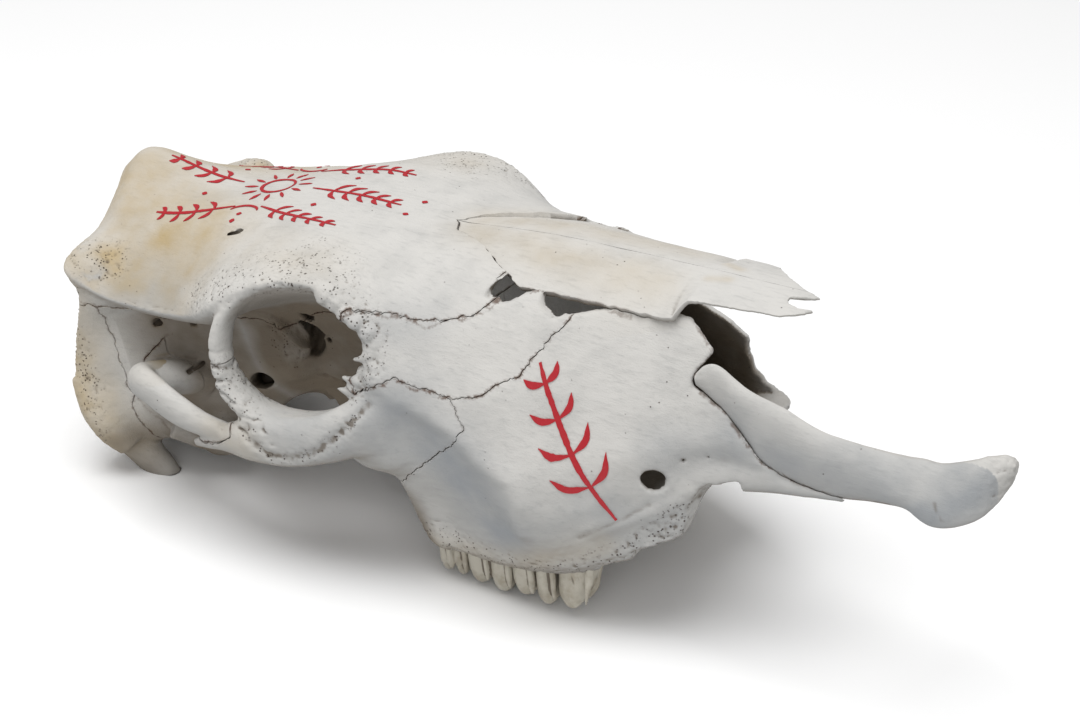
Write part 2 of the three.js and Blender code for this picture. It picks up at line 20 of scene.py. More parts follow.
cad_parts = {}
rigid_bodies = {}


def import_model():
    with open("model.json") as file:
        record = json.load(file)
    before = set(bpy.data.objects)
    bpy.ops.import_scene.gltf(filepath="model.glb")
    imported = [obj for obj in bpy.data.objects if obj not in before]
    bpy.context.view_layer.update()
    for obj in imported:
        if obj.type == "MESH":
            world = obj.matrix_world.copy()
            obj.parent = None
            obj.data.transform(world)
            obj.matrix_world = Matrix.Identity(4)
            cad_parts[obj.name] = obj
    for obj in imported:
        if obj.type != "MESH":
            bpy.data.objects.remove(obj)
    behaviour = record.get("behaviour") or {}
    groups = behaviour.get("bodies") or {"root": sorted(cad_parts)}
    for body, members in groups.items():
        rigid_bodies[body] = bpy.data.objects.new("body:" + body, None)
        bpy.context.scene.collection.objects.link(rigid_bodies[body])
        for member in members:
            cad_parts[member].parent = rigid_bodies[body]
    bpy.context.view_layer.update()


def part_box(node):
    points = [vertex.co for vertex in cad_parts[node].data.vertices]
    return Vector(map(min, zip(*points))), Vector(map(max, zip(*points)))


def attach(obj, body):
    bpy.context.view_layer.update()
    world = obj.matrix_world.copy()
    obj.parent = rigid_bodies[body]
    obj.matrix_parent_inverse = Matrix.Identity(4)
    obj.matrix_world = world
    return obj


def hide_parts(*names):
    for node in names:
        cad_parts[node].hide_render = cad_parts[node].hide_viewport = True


Array = np.ndarray
Pair = tuple[float, float]
Row = tuple[float, ...]
Rows = tuple[Row, ...]
Colour = tuple[float, float, float, float]
Piece = bpy.types.Object
Mesh = bpy.types.Mesh
Socket = bpy.types.NodeSocket
log = logging.getLogger("skull")

MM = 0.001
REST_PITCH = math.radians(16.3)
FLOOR_LEVEL = 53.5
RIGHT = -1
LEFT = 1
SIDES = (RIGHT, LEFT)
SIDE_NAMES = {RIGHT: "right", LEFT: "left"}

FACE_SHELL = 4.2
EDGE_SHELL = 2.6
SEAM = 0.42
NASAL_THICKNESS = 3.2
NASAL_GAP = 0.15
OUTER_RISE = 1.8
BESIDE = 130.0
NASAL_ROOM = 12.0
LACRIMAL_DEPTH = 5.0
CLAY_BOX = ((-34, -104, -30), (440, 104, 212))
FULL_CUBE = 1.0
TOOTH_CUBE_SHARE = 0.55
SHARP_ANGLE = math.radians(50)
FAR_RIGHT = -140.0
FAR_ABOVE = 240.0
SHRINK = 0.55
SWELL = -0.5


class Operation(Enum):
    """How one closed solid works on another."""

    CUT = "DIFFERENCE"
    KEEP = "INTERSECT"


class View(Enum):
    """The plane in which a line on the bone is measured."""

    SIDE = "side"
    TOP = "top"


Mark = tuple[tuple[Pair, ...], float, float, View]


@dataclass(frozen=True)
class Placement:
    """Turns the skull's own frame, in millimetres, into the room's frame, in metres."""

    shift_x: float

    @classmethod
    def from_frame(cls) -> "Placement":
        """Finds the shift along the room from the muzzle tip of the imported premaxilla.

        Returns:
            The placement of the skull in the room.
        """
        blade = Premaxilla()
        tip = max(x * math.cos(REST_PITCH) - (z - tall) * math.sin(REST_PITCH)
                  for x, _, z, tall, _, _ in blade.stations)
        return cls(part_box("premaxilla_right")[1].x / MM - tip)

    def turned(self, vectors: Array) -> Array:
        """Directions of the skull's frame as directions of the room.

        Args:
            vectors: rows of x, y, z.

        Returns:
            The same rows, pitched nose up.
        """
        c, s = math.cos(REST_PITCH), math.sin(REST_PITCH)
        x, y, z = np.moveaxis(np.asarray(vectors, float), -1, 0)
        return np.stack([x * c - z * s, y, x * s + z * c], -1)

    def room(self, points: Array) -> Array:
        """Points of the skull's frame, in millimetres, as points of the room, in metres.

        Args:
            points: rows of x, y, z.

        Returns:
            The same rows in the room.
        """
        return (self.turned(points) + (self.shift_x, 0.0, -FLOOR_LEVEL)) * MM


# Numbers and curves


def spline(points: Array, steps: int, closed: bool = False) -> Array:
    """Centripetal Catmull-Rom curve through points: between two points it is the cubic whose end
    slopes come from the neighbours, with knots spaced by the root of the distance between points.

    Args:
        points: an array whose first axis runs along the curve; other axes are curves side by side.
        steps: how many samples lie between two points.
        closed: whether the curve returns to its start.

    Returns:
        The samples along the first axis, with the last point kept on an open curve.
    """
    p = np.asarray(points, float)
    ends = (p[-1:], p[:2]) if closed else (2 * p[:1] - p[1:2], 2 * p[-1:] - p[-2:-1])
    run = np.concatenate([ends[0], p, ends[1]])
    p0, p1, p2, p3 = run[:-3], run[1:-2], run[2:-1], run[3:]

    def knot(a: Array, b: Array) -> Array:
        """Root of the distance between two points, kept off nought."""
        return np.maximum(np.sqrt(np.linalg.norm(b - a, axis=-1, keepdims=True)), 1e-4)

    d0, d1, d2 = knot(p0, p1), knot(p1, p2), knot(p2, p3)
    m1 = d1 * ((p1 - p0) / d0 - (p2 - p0) / (d0 + d1) + (p2 - p1) / d1)
    m2 = d1 * ((p2 - p1) / d1 - (p3 - p1) / (d1 + d2) + (p3 - p2) / d2)
    t = np.arange(steps).reshape((1, steps) + (1,) * (p.ndim - 1)) / steps
    p1, p2, m1, m2 = (v[:, None] for v in (p1, p2, m1, m2))
    curve = ((2 * t**3 - 3 * t**2 + 1) * p1 + (t**3 - 2 * t**2 + t) * m1
             + (3 * t**2 - 2 * t**3) * p2 + (t**3 - t**2) * m2)
    flat = curve.reshape((-1,) + p.shape[1:])
    return flat if closed else np.concatenate([flat, p[-1:]])


def spread(path: Array, step: float, closed: bool = True) -> Array:
    """Points at equal steps along a polyline.

    Args:
        path: the corners of the line.
        step: the distance between two points, met as nearly as a whole number of steps allows.
        closed: whether the line returns to its start.

    Returns:
        The points, without a repeated end on a closed line.
    """
    line = np.vstack([path, path[:1]]) if closed else np.asarray(path, float)
    along = np.concatenate([[0], np.cumsum(np.linalg.norm(np.diff(line, axis=0), axis=1))])
    count = max(int(round(along[-1] / step)), 3)
    places = np.linspace(0, along[-1], count, endpoint=not closed)
    return np.stack([np.interp(places, along, line[:, i]) for i in range(line.shape[1])], -1)


def lattice(points: Array, size: float, seed: int) -> Array:
    """Smooth noise from -1 to 1: random values on a cubic lattice, blended with smoothstep weights.

    Args:
        points: rows of x, y, z.
        size: the lattice spacing, in the units of the points.
        seed: which random lattice is used.

    Returns:
        One value for each row.
    """
    table = np.random.default_rng(seed).uniform(-1, 1, 65536)
    q = np.asarray(points, float) / size
    cell = np.floor(q).astype(np.int64)
    f = q - cell
    f = f * f * (3 - 2 * f)
    total = np.zeros(len(q))
    for corner in np.ndindex(2, 2, 2):
        c = cell + corner
        weight = np.prod(np.where(np.array(corner) == 1, f, 1 - f), axis=1)
        index = (c[:, 0] * 73856093 ^ c[:, 1] * 19349663 ^ c[:, 2] * 83492791) & 65535
        total += weight * table[index]
    return total


def layers(points: Array, size: float, seed: int, count: int = 3) -> Array:
    """Noise in layers, each half the size and half the strength of the one before.

    Args:
        points: rows of x, y, z.
        size: the spacing of the coarsest layer.
        seed: which random lattices are used.
        count: how many layers are added.

    Returns:
        One value for each row, about -1 to 1.
    """
    return sum(lattice(points, size / 2**i, seed + i) / 2**i for i in range(count)) / 1.6


def away(points: Array, path: Array) -> Array:
    """Distance from each point to the nearest place on a polyline.

    Args:
        points: rows of coordinates.
        path: the corners of the line, with as many coordinates.

    Returns:
        One distance for each row.
    """
    path = np.asarray(path, float)
    best = np.full(len(points), np.inf)
    for a, b in zip(path[:-1], path[1:]):
        run = b - a
        t = np.clip(((points - a) @ run) / max(float(run @ run), 1e-9), 0, 1)
        best = np.minimum(best, np.linalg.norm(points - a - t[:, None] * run, axis=1))
    return best


def unit(rows: Array, least: float = 1e-9) -> Array:
    """Rows at a length of 1, where a length under the least counts as the least."""
    return rows / np.maximum(np.linalg.norm(rows, axis=-1, keepdims=True), least)


def ease(x: Array, low: float, high: float) -> Array:
    """Smooth rise from 0 at low to 1 at high."""
    t = np.clip((x - low) / (high - low), 0, 1)
    return t * t * (3 - 2 * t)


def bell(flat: Array, line: Sequence[Pair], radius: float) -> Array:
    """A bell curve of the distance to a line: 1 on it and 1/e at the radius."""
    return np.exp(-((away(flat, np.array(line)) / radius) ** 2))


def seen_from(points: Array, view: View) -> Array:
    """Points as [x, z] from the side, or as [x, distance to the middle plane] from above."""
    return points[:, [0, 2]] if view is View.SIDE else np.stack([points[:, 0], np.abs(points[:, 1])], -1)


# Closed surfaces


@dataclass
class Shell:
    """A closed surface in the skull's frame: its points and its three-sided and four-sided faces."""

    points: Array
    quads: Array
    triangles: Array

    def mirrored(self) -> "Shell":
        """The same surface on the other side of the skull, with its faces turned back outwards."""
        return Shell(self.points * (1, -1, 1), self.quads[:, ::-1], self.triangles[:, ::-1])

    def faces(self) -> list[Array]:
        """All faces as one list of index rows."""
        return [*self.quads.tolist(), *self.triangles.tolist()]


def tube(grid: Array, ring_ends: bool = True) -> Shell:
    """Skins closed rings: face (i, j) joins ring i to ring i + 1 between points j and j + 1. Each end
    is closed on its middle point, or the last ring joins the first.

    Args:
        grid: rings by points by three coordinates.
        ring_ends: whether the ends are closed, rather than joined to each other.

    Returns:
        The closed surface, with its faces outwards.
    """
    count, around = grid.shape[:2]
    i, j = np.indices((count - 1 if ring_ends else count, around))
    k, n = (j + 1) % around, (i + 1) % count
    quads = np.stack([i * around + j, i * around + k, n * around + k, n * around + j], -1).reshape(-1, 4)
    points = grid.reshape(-1, 3)
    triangles = np.zeros((0, 3), int)
    if ring_ends:
        first = np.arange(around)
        last = first + (count - 1) * around
        a, b = count * around, count * around + 1
        points = np.vstack([points, grid[0].mean(0), grid[-1].mean(0)])
        triangles = np.vstack([
            np.stack([np.roll(first, -1), first, np.full(around, a)], -1),
            np.stack([last, np.roll(last, -1), np.full(around, b)], -1),
        ])
    return outward(Shell(points, quads, triangles))


def sheet(rows: Array) -> Shell:
    """A thin sheet: each row holds the points over it and then the same number under it, backwards,
    and the two end rows are closed by strips between the points that lie over each other.

    Args:
        rows: rows by points by three coordinates.

    Returns:
        The closed surface.
    """
    count, around = rows.shape[:2]
    i, j = np.indices((count - 1, around))
    k = (j + 1) % around
    sides = np.stack([i * around + j, i * around + k, (i + 1) * around + k, (i + 1) * around + j], -1)
    strip = np.arange(around // 2 - 1)
    first = np.stack([strip, around - 1 - strip, around - 2 - strip, strip + 1], -1)
    last = first[:, ::-1] + (count - 1) * around
    quads = np.vstack([sides.reshape(-1, 4), first, last])
    return outward(Shell(rows.reshape(-1, 3), quads, np.zeros((0, 3), int)))


def outward(shell: Shell) -> Shell:
    """Turns the faces so that the volume they enclose, summed from triple products, is positive.

    Args:
        shell: a closed surface.

    Returns:
        The surface with its faces outwards.
    """
    p = shell.points
    corners = [shell.quads[:, [0, 1, 2]], shell.quads[:, [0, 2, 3]], shell.triangles]
    a, b, c = (p[np.concatenate([t[:, n] for t in corners])] for n in range(3))
    if np.einsum("ij,ij->i", a, np.cross(b, c)).sum() < 0:
        return Shell(p, shell.quads[:, ::-1], shell.triangles[:, ::-1])
    return shell


def egg(middle: Sequence[float], radii: Sequence[float], steps: int = 24) -> Shell:
    """An egg shape: each point is the middle plus the half sizes times a direction of the sphere.

    Args:
        middle: x, y, z.
        radii: half sizes along x, y, z.
        steps: rings from pole to pole.

    Returns:
        The closed surface.
    """
    v, u = np.meshgrid(np.linspace(0.02, math.pi - 0.02, steps),
                       np.linspace(0, 2 * math.pi, 2 * steps, endpoint=False), indexing="ij")
    unit = np.stack([np.cos(v), np.sin(v) * np.cos(u), np.sin(v) * np.sin(u)], -1)
    return tube(np.array(middle) + unit * np.array(radii))


def bar(stations: Sequence[Sequence[float]], steps: int = 8, around: int = 28) -> Shell:
    """Ellipses carried along a smooth path, each across the path's own direction.

    Args:
        stations: rows of x, y, z, half thickness and half height.
        steps: rings between two stations.
        around: points in each ring.

    Returns:
        The closed surface.
    """
    rows = spline(np.array(stations, float), steps)
    middle, thick, tall = rows[:, :3], rows[:, 3], rows[:, 4]
    along = unit(np.gradient(middle, axis=0))
    flat = unit(np.cross(along, (0, 0, 1)), 1e-6)
    up = np.cross(flat, along)
    a = np.linspace(0, 2 * math.pi, around, endpoint=False)
    grid = (middle[:, None] + (np.maximum(thick, 0.3)[:, None] * np.cos(a))[..., None] * flat[:, None]
            + (np.maximum(tall, 0.3)[:, None] * np.sin(a))[..., None] * up[:, None])
    return tube(grid)


def side_egg(sign: int, row: Row) -> Shell:
    """An egg on one side: x, distance to the middle plane, z and the half sizes."""
    x, w, z, *radii = row
    return egg((x, sign * w, z), radii)


def side_bar(sign: int, rows: Sequence[Row], steps: int = 8, around: int = 28) -> Shell:
    """A bar on one side: rows of x, distance to the middle plane, z, half thickness and half height."""
    return bar([(x, sign * w, z, thick, tall) for x, w, z, thick, tall in rows], steps, around)


def prism(outline: Array, low: float, high: float) -> Shell:
    """A side-view outline [x, z] carried across the skull from y = low to y = high.

    Args:
        outline: the corners of the outline.
        low: the lower y.
        high: the higher y.

    Returns:
        The closed surface, its end faces cut into triangles.
    """
    n = len(outline)
    flat = np.insert(np.asarray(outline, float), 1, low, axis=1)
    across = flat + (0, high - low, 0)
    mesh = bpy.data.meshes.new("outline")
    ends = [list(range(n)), list(range(2 * n - 1, n - 1, -1))]
    mesh.from_pydata(np.vstack([flat, across]).tolist(), [], ends)
    mesh.calc_loop_triangles()
    caps = np.zeros(len(mesh.loop_triangles) * 3, np.int32)
    mesh.loop_triangles.foreach_get("vertices", caps)
    bpy.data.meshes.remove(mesh)
    j = np.arange(n)
    k = (j + 1) % n
    quads = np.stack([j + n, k + n, k, j], -1)
    return outward(Shell(np.vstack([flat, across]), quads, caps.reshape(-1, 3)))


@dataclass(frozen=True)
class Outline:
    """A side-view outline [x, z] with a ragged edge, as bone breaks or knits."""

    corners: tuple[Pair, ...]
    ragged: float = 0.0
    pitch: float = 3.0
    seed: int = 1
    step: float = 0.8

    def edge(self, growth: float = 0.0) -> Array:
        """The ragged line: points at equal steps, moved out by growth and then by noise along the
        outline's own normals, so that two growths keep the same wiggles side by side.

        Args:
            growth: how far the whole line moves outwards.

        Returns:
            The corners of the line.
        """
        line = spread(np.array(self.corners, float), self.step)
        ahead, behind = np.roll(line, -1, axis=0), np.roll(line, 1, axis=0)
        run = ahead - behind
        area = np.sum(line[:, 0] * ahead[:, 1] - ahead[:, 0] * line[:, 1])
        normal = unit(np.stack([run[:, 1], -run[:, 0]], -1) * np.sign(area))
        place = np.insert(line, 1, 0.0, axis=1)
        wave = (0.7 * lattice(place, self.pitch, self.seed)
                + 0.5 * lattice(place, self.pitch * 0.4, self.seed + 7)
                + 0.8 * lattice(place, self.pitch * 2.7, self.seed + 3))
        return line + normal * (growth + self.ragged * wave)[:, None]

    def across(self, low: float, high: float, growth: float = 0.0) -> Shell:
        """The outline carried across the skull from y = low to y = high."""
        return prism(self.edge(growth), low, high)

    def beside(self, sign: int, near: float, growth: float = 0.0, far: float = BESIDE) -> Shell:
        """The outline carried outwards on one side, from a distance to the middle plane outwards."""
        inner = near - growth
        return self.across(-far, -inner, growth) if sign < 0 else self.across(inner, far, growth)


# Clay: surfaces fused as distances on a grid


@dataclass
class Clay:
    """Distance to the surface on a grid of cubes, below nought inside. Shells are added to it and cut
    from it with a soft blend, where smooth bone can't be one function of two parameters."""

    step: float
    low: Array
    field: Array
    band: int = 9

    @classmethod
    def block(cls, low: Sequence[float], high: Sequence[float], step: float) -> "Clay":
        """An empty grid over a box.

        Args:
            low: the lowest corner in millimetres.
            high: the highest corner.
            step: the size of a cube.

        Returns:
            The grid, with nothing in it.
        """
        start = np.floor(np.array(low) / step).astype(int)
        size = np.ceil(np.array(high) / step).astype(int) - start + 1
        return cls(step, start, np.full(tuple(size), cls.band * step, np.float32))

    def reading(self, shell: Shell) -> tuple[tuple[slice, ...], Array]:
        """A shell's distance field on the part of the grid round it.

        Args:
            shell: a closed surface.

        Returns:
            Where that part lies in the grid, and its values.
        """
        room = (self.band + 2) * self.step
        first = np.floor((shell.points.min(0) - room) / self.step).astype(int)
        last = np.ceil((shell.points.max(0) + room) / self.step).astype(int)
        first = np.clip(first, self.low, self.low + self.field.shape)
        last = np.clip(last, self.low, self.low + self.field.shape)
        grid = openvdb.FloatGrid.createLevelSetFromPolygons(
            shell.points.astype(np.float32), triangles=shell.triangles.astype(np.uint32),
            quads=shell.quads.astype(np.uint32), transform=openvdb.createLinearTransform(voxelSize=self.step),
            halfWidth=float(self.band))
        values = np.full(tuple(last - first), self.band * self.step, np.float32)
        grid.copyToArray(values, ijk=tuple(int(v) for v in first))
        where = tuple(slice(a - b, c - b) for a, b, c in zip(first, self.low, last))
        return where, values

    def add(self, shell: Shell, blend: float = 0.0) -> None:
        """Joins a shell to the clay: the smaller distance, rounded over the blend's width."""
        where, values = self.reading(shell)
        self.field[where] = meld(self.field[where], values, blend)

    def cut(self, shell: Shell, blend: float = 0.0) -> None:
        """Takes a shell away: the larger of the distance and the shell's distance turned round."""
        where, values = self.reading(shell)
        self.field[where] = -meld(-self.field[where], values, blend)

    def without(self, keep_out: Shell, only_in: Shell, blend: float = 0.0) -> None:
        """Takes away the room that two shells share.

        Args:
            keep_out: one shell.
            only_in: the other.
            blend: the width of the fillet.
        """
        where, values = self.reading(keep_out)
        part = Clay(self.step, self.low, np.full(self.field.shape, self.band * self.step, np.float32))
        part.field[where] = values
        other, limit = self.reading(only_in)
        room = np.full(self.field.shape, self.band * self.step, np.float32)
        room[other] = limit
        np.maximum(part.field, room, out=room)
        self.field = -meld(-self.field, room, blend)

    def surface(self) -> Shell:
        """Finds where the distance is nought.

        Returns:
            The surface, as four-sided faces.
        """
        grid = openvdb.FloatGrid(self.band * self.step)
        grid.transform = openvdb.createLinearTransform(voxelSize=self.step)
        grid.gridClass = openvdb.GridClass.LEVEL_SET
        grid.copyFromArray(self.field, ijk=tuple(int(v) for v in self.low))
        points, quads = grid.convertToQuads(0.0)
        return outward(Shell(points.astype(float), quads.astype(int), np.zeros((0, 3), int)))


def meld(a: Array, b: Array, blend: float) -> Array:
    """The smaller of two distances, with a round fillet where they are within the blend's width.

    Args:
        a: one distance.
        b: the other.
        blend: the fillet's width.

    Returns:
        The joined distance.
    """
    if blend <= 0:
        return np.minimum(a, b)
    share = np.clip(0.5 + 0.5 * (b - a) / blend, 0, 1)
    return b + (a - b) * share - blend * share * (1 - share)


def largest(shell: Shell) -> Shell:
    """The part of a surface that hangs together and has the most points: loose scraps go.

    Args:
        shell: a surface of four-sided faces.

    Returns:
        The same surface without its smaller parts.
    """
    label = np.arange(len(shell.points))
    a, b = shell.quads.ravel(), np.roll(shell.quads, -1, axis=1).ravel()
    while True:
        low = np.minimum(label[a], label[b])
        new = label.copy()
        np.minimum.at(new, a, low)
        np.minimum.at(new, b, low)
        new = new[new]
        if np.array_equal(new, label):
            break
        label = new
    kinds, counts = np.unique(label, return_counts=True)
    keep = label == kinds[counts.argmax()]
    index = np.cumsum(keep) - 1
    return Shell(shell.points[keep], index[shell.quads[keep[shell.quads[:, 0]]]], shell.triangles)


# The skull's forms


@dataclass(frozen=True)
class Cranium:
    """The body of the skull as sections across it. Each holds eleven points from the top middle to
    the bottom middle, as half width, height and, where it leans, how far forward it lies."""

    sections: dict[float, Rows] = field(default_factory=lambda: {
        14: ((0, 196), (20, 187, 5), (38, 176, 6), (68, 168, 8), (74, 153, 15), (76, 128, 4), (77, 104, -5),
             (76, 80, -6), (62, 66, 0), (40, 62, -4), (0, 60, -10)),
        30: ((0, 203), (20, 192), (40, 178), (77, 167), (73, 152, 6), (73, 130, -4), (74, 106, -8),
             (76, 84, -8), (62, 66, -6), (36, 60, -6), (0, 58, -10)),
        46: ((0, 198), (22, 186), (42, 176), (76, 154), (70, 146), (64, 138), (63, 112), (63, 88), (54, 66),
             (30, 60), (0, 58)),
        76: ((0, 184.5), (22, 181), (44, 172), (74, 144), (68, 137), (55, 135), (51, 112), (47, 88),
             (38, 70), (22, 61), (0, 59)),
        106: ((0, 178.5), (22, 177), (44, 171), (80, 143), (74, 136), (54, 133), (47, 112), (42, 90),
              (33, 79), (20, 67), (0, 64)),
        130: ((0, 176), (23, 175), (46, 171), (90, 150), (84, 141), (54, 134), (43, 113), (38, 94),
              (29, 82), (18, 71), (0, 68)),
        158: ((0, 171.5), (24, 171), (50, 169), (87, 160), (82, 153), (56, 138), (42, 115), (38, 95),
              (30, 81), (18, 71), (0, 69)),
        184: ((0, 165), (24, 164.5), (50, 163), (81, 158.5), (76, 151), (58, 138), (48, 116), (43, 94),
              (36, 76), (20, 68), (0, 66)),
        201: ((0, 160.5), (22, 160), (48, 158), (76, 151), (69, 141), (60, 126), (56, 108), (56, 80),
              (50, 50), (26, 55), (0, 56)),
        212: ((0, 157), (20, 156.5), (45, 153.5), (72, 143), (77, 131), (82, 110, -4), (81, 82, -8),
              (71, 50, -10), (63, 17, -8), (44, 20, -8), (0, 30, -8)),
        224: ((0, 154), (18, 153.5), (41, 150), (64, 138.5), (73, 125), (80, 106), (80, 80), (71, 44),
              (63, 12), (43, 15), (0, 28)),
        246: ((0, 150.5), (16, 150), (35, 146), (54, 133.5), (67, 116), (76, 94), (80, 70), (75, 40),
              (63, 6), (42, 9), (0, 27)),
        272: ((0, 146), (15, 145.5), (31, 141), (47, 131), (60, 112), (71, 84), (79, 56), (78, 32), (61, 3),
              (41, 7), (0, 27)),
        302: ((0, 139), (14, 138), (28, 133), (39, 123), (49, 104), (59, 78), (66, 54), (66, 32), (57, 7.5),
              (38, 13), (0, 29)),
        332: ((0, 131.5), (13, 130.5), (25, 126), (34, 115), (43, 97), (51, 76), (56, 57), (55, 37),
              (49, 16.5), (34, 24), (0, 34)),
        350: ((0, 127), (12, 126), (22, 121.5), (30, 110), (38, 93), (44, 75), (47, 58), (46, 49), (42, 39),
              (28, 42), (0, 43)),
        384: ((0, 118), (10, 117), (18, 113), (25, 101), (32, 85), (37, 68), (40, 54), (39, 45), (35, 40),
              (26, 40), (0, 41)),
    })
    around: int = 9
    along: int = 9

    def rings(self, inset: float) -> Array:
        """The closed rings of all sections, each point moved inwards along its ring's own normal.

        Args:
            inset: how far inwards; it thins out towards the muzzle as the bone does.

        Returns:
            Sections by points by three coordinates.
        """
        rows = []
        for x, line in self.sections.items():
            half = np.array([(x + (p[2] if len(p) > 2 else 0), -p[0], p[1]) for p in line], float)
            full = np.vstack([half, half[-2:0:-1] * (1, -1, 1)])
            run = np.roll(full, -1, axis=0) - np.roll(full, 1, axis=0)
            inward = unit(np.stack([np.zeros(len(run)), -run[:, 2], run[:, 1]], -1))
            thin = np.interp(x, (300, 340), (1, EDGE_SHELL / FACE_SHELL))
            rows.append(full + inward * inset * thin)
        return np.array(rows)

    def shell(self, inset: float = 0.0) -> Shell:
        """The body's surface, or its lining: smooth curves round each section, then along.

        Args:
            inset: the depth of the lining.

        Returns:
            The closed surface.
        """
        coarse = self.rings(inset)
        round_it = spline(coarse.transpose(1, 0, 2), self.around, closed=True)
        return tube(spline(round_it.transpose(1, 0, 2), self.along))


@dataclass(frozen=True)
class Orbit:
    """The eye socket: a ring of bone, widest behind and below, with a frayed front edge."""

    x: float = 173.5
    z: float = 125.3
    half_length: float = 37.0
    half_height: float = 31.0
    lobes: Rows = (
        (195, 77, 150, 5.5), (200, 77, 146, 4.6), (204, 78, 141, 4.2), (208, 78, 137, 3.6),
        (212, 76.5, 131, 4.0), (213, 75.5, 124, 4.2), (211, 76, 117, 4.2), (205, 77.5, 112, 4.0),
        (202, 79, 108, 3.2), (198, 80, 105, 4.2),
    )
    spurs: tuple[Rows, ...] = (
        ((212, 78, 121, 2.4, 2.4), (206, 79, 119.5, 1.6, 1.6), (202.5, 80, 120, 0.8, 0.8)),
        ((203, 80, 109, 2.6, 2.6), (197, 81, 110.5, 1.5, 1.5), (194.5, 81.5, 112, 0.8, 0.8)),
        ((197, 81, 103, 2.4, 2.4), (192.5, 81.5, 105, 1.5, 1.5), (190, 82, 106.5, 0.7, 0.7)),
    )
    swell: Row = (119, 37, 112, 26, 12.5, 23)
    crest: Rows = (
        (108, 47, 135.2, 5, 2.0), (119, 47.5, 133, 5, 1.8), (126, 47.5, 130.2, 5, 1.6),
        (132.7, 47, 125.1, 5, 1.6), (139, 46.5, 116.4, 5, 1.6), (143.8, 46, 110.8, 5, 1.6),
        (139.3, 44, 105.4, 4, 1.8),
    )
    recess: Rows = (
        (140.5, 41, 124.6, 8, 2.4), (145.2, 38, 117.5, 13, 3.8), (145.0, 38, 110, 12, 3.6),
        (141, 40, 104.4, 7, 2.0),
    )

    def wall(self, sign: int) -> list[Shell]:
        """The rear part of the wall inside, which swells out, and the crest in which it ends."""
        return [side_egg(sign, self.swell), side_bar(sign, self.crest, 8, 20)]

    def slot(self, sign: int) -> Shell:
        """The dark slot in front of the crest."""
        return side_bar(sign, self.recess, 8, 20)

    def rim(self, sign: int) -> Shell:
        """The ring: an ellipse carried round the opening, its half sizes growing behind and below.

        Args:
            sign: which side.

        Returns:
            The closed ring.
        """
        a = np.linspace(0, 2 * math.pi, 180, endpoint=False)
        b = np.linspace(0, 2 * math.pi, 36, endpoint=False)
        low, rear = np.maximum(0, -np.sin(a)), np.maximum(0, -np.cos(a))
        rim = 2.2 + 3 * low + 2.6 * rear
        deep = 4.5 + 4 * low + 2.5 * rear
        middle = np.stack([
            self.x + (self.half_length + rim) * np.cos(a) - 3 * low * rear,
            sign * (87.5 - 9.5 * np.cos(a) - 4.5 * np.sin(a) - deep),
            self.z + (self.half_height + rim) * np.sin(a) - 2 * low * rear,
        ], -1)
        out = np.stack([np.cos(a), np.zeros_like(a), np.sin(a)], -1)
        grid = (middle[:, None] + (rim[:, None] * np.cos(b))[..., None] * out[:, None]
                + (deep[:, None] * np.sin(b))[..., None] * np.array((0, 1, 0)))
        return tube(grid, ring_ends=False)

    def fray(self, sign: int) -> list[Shell]:
        """Round lobes and small spurs along the front edge, where the tear bone breaks off."""
        return ([egg((x, sign * w, z), (r, r * 0.8, r), 12) for x, w, z, r in self.lobes]
                + [side_bar(sign, spur, 6, 14) for spur in self.spurs])


@dataclass(frozen=True)
class Cheek:
    """The cheek bone's bar and the arch that reaches back from it to the ear."""

    bar_stations: Rows = (
        (96, 90, 80.5, 1.6, 2), (104, 91, 81.5, 2.6, 3.6), (118, 93, 84, 4, 6), (136, 95, 85, 5, 11),
        (158, 93, 83, 5.5, 12.5), (182, 89, 84, 6, 12), (204, 81, 88, 7, 13), (228, 70, 88, 7, 13),
    )
    arch_stations: Rows = (
        (66, 46, 96, 16, 10), (62, 64, 103, 13, 9), (62, 79, 108, 8, 9), (74, 88, 109, 6, 10),
        (90, 91.5, 100, 4.5, 9.5), (106, 93, 93, 4, 7), (122, 95, 91, 3, 3.5),
    )
    swell: Row = (198, 72, 74, 20, 12, 14)

    def bone(self, sign: int) -> Shell:
        """The bar under the orbit, from the face back to the temporal process."""
        return side_bar(sign, self.bar_stations)

    def corner(self, sign: int) -> Shell:
        """The swelling where the bar meets the face over the tooth row."""
        return side_egg(sign, self.swell)

    def arch(self, sign: int) -> Shell:
        """The arch from the braincase out and forwards to the cheek bone."""
        return side_bar(sign, self.arch_stations)


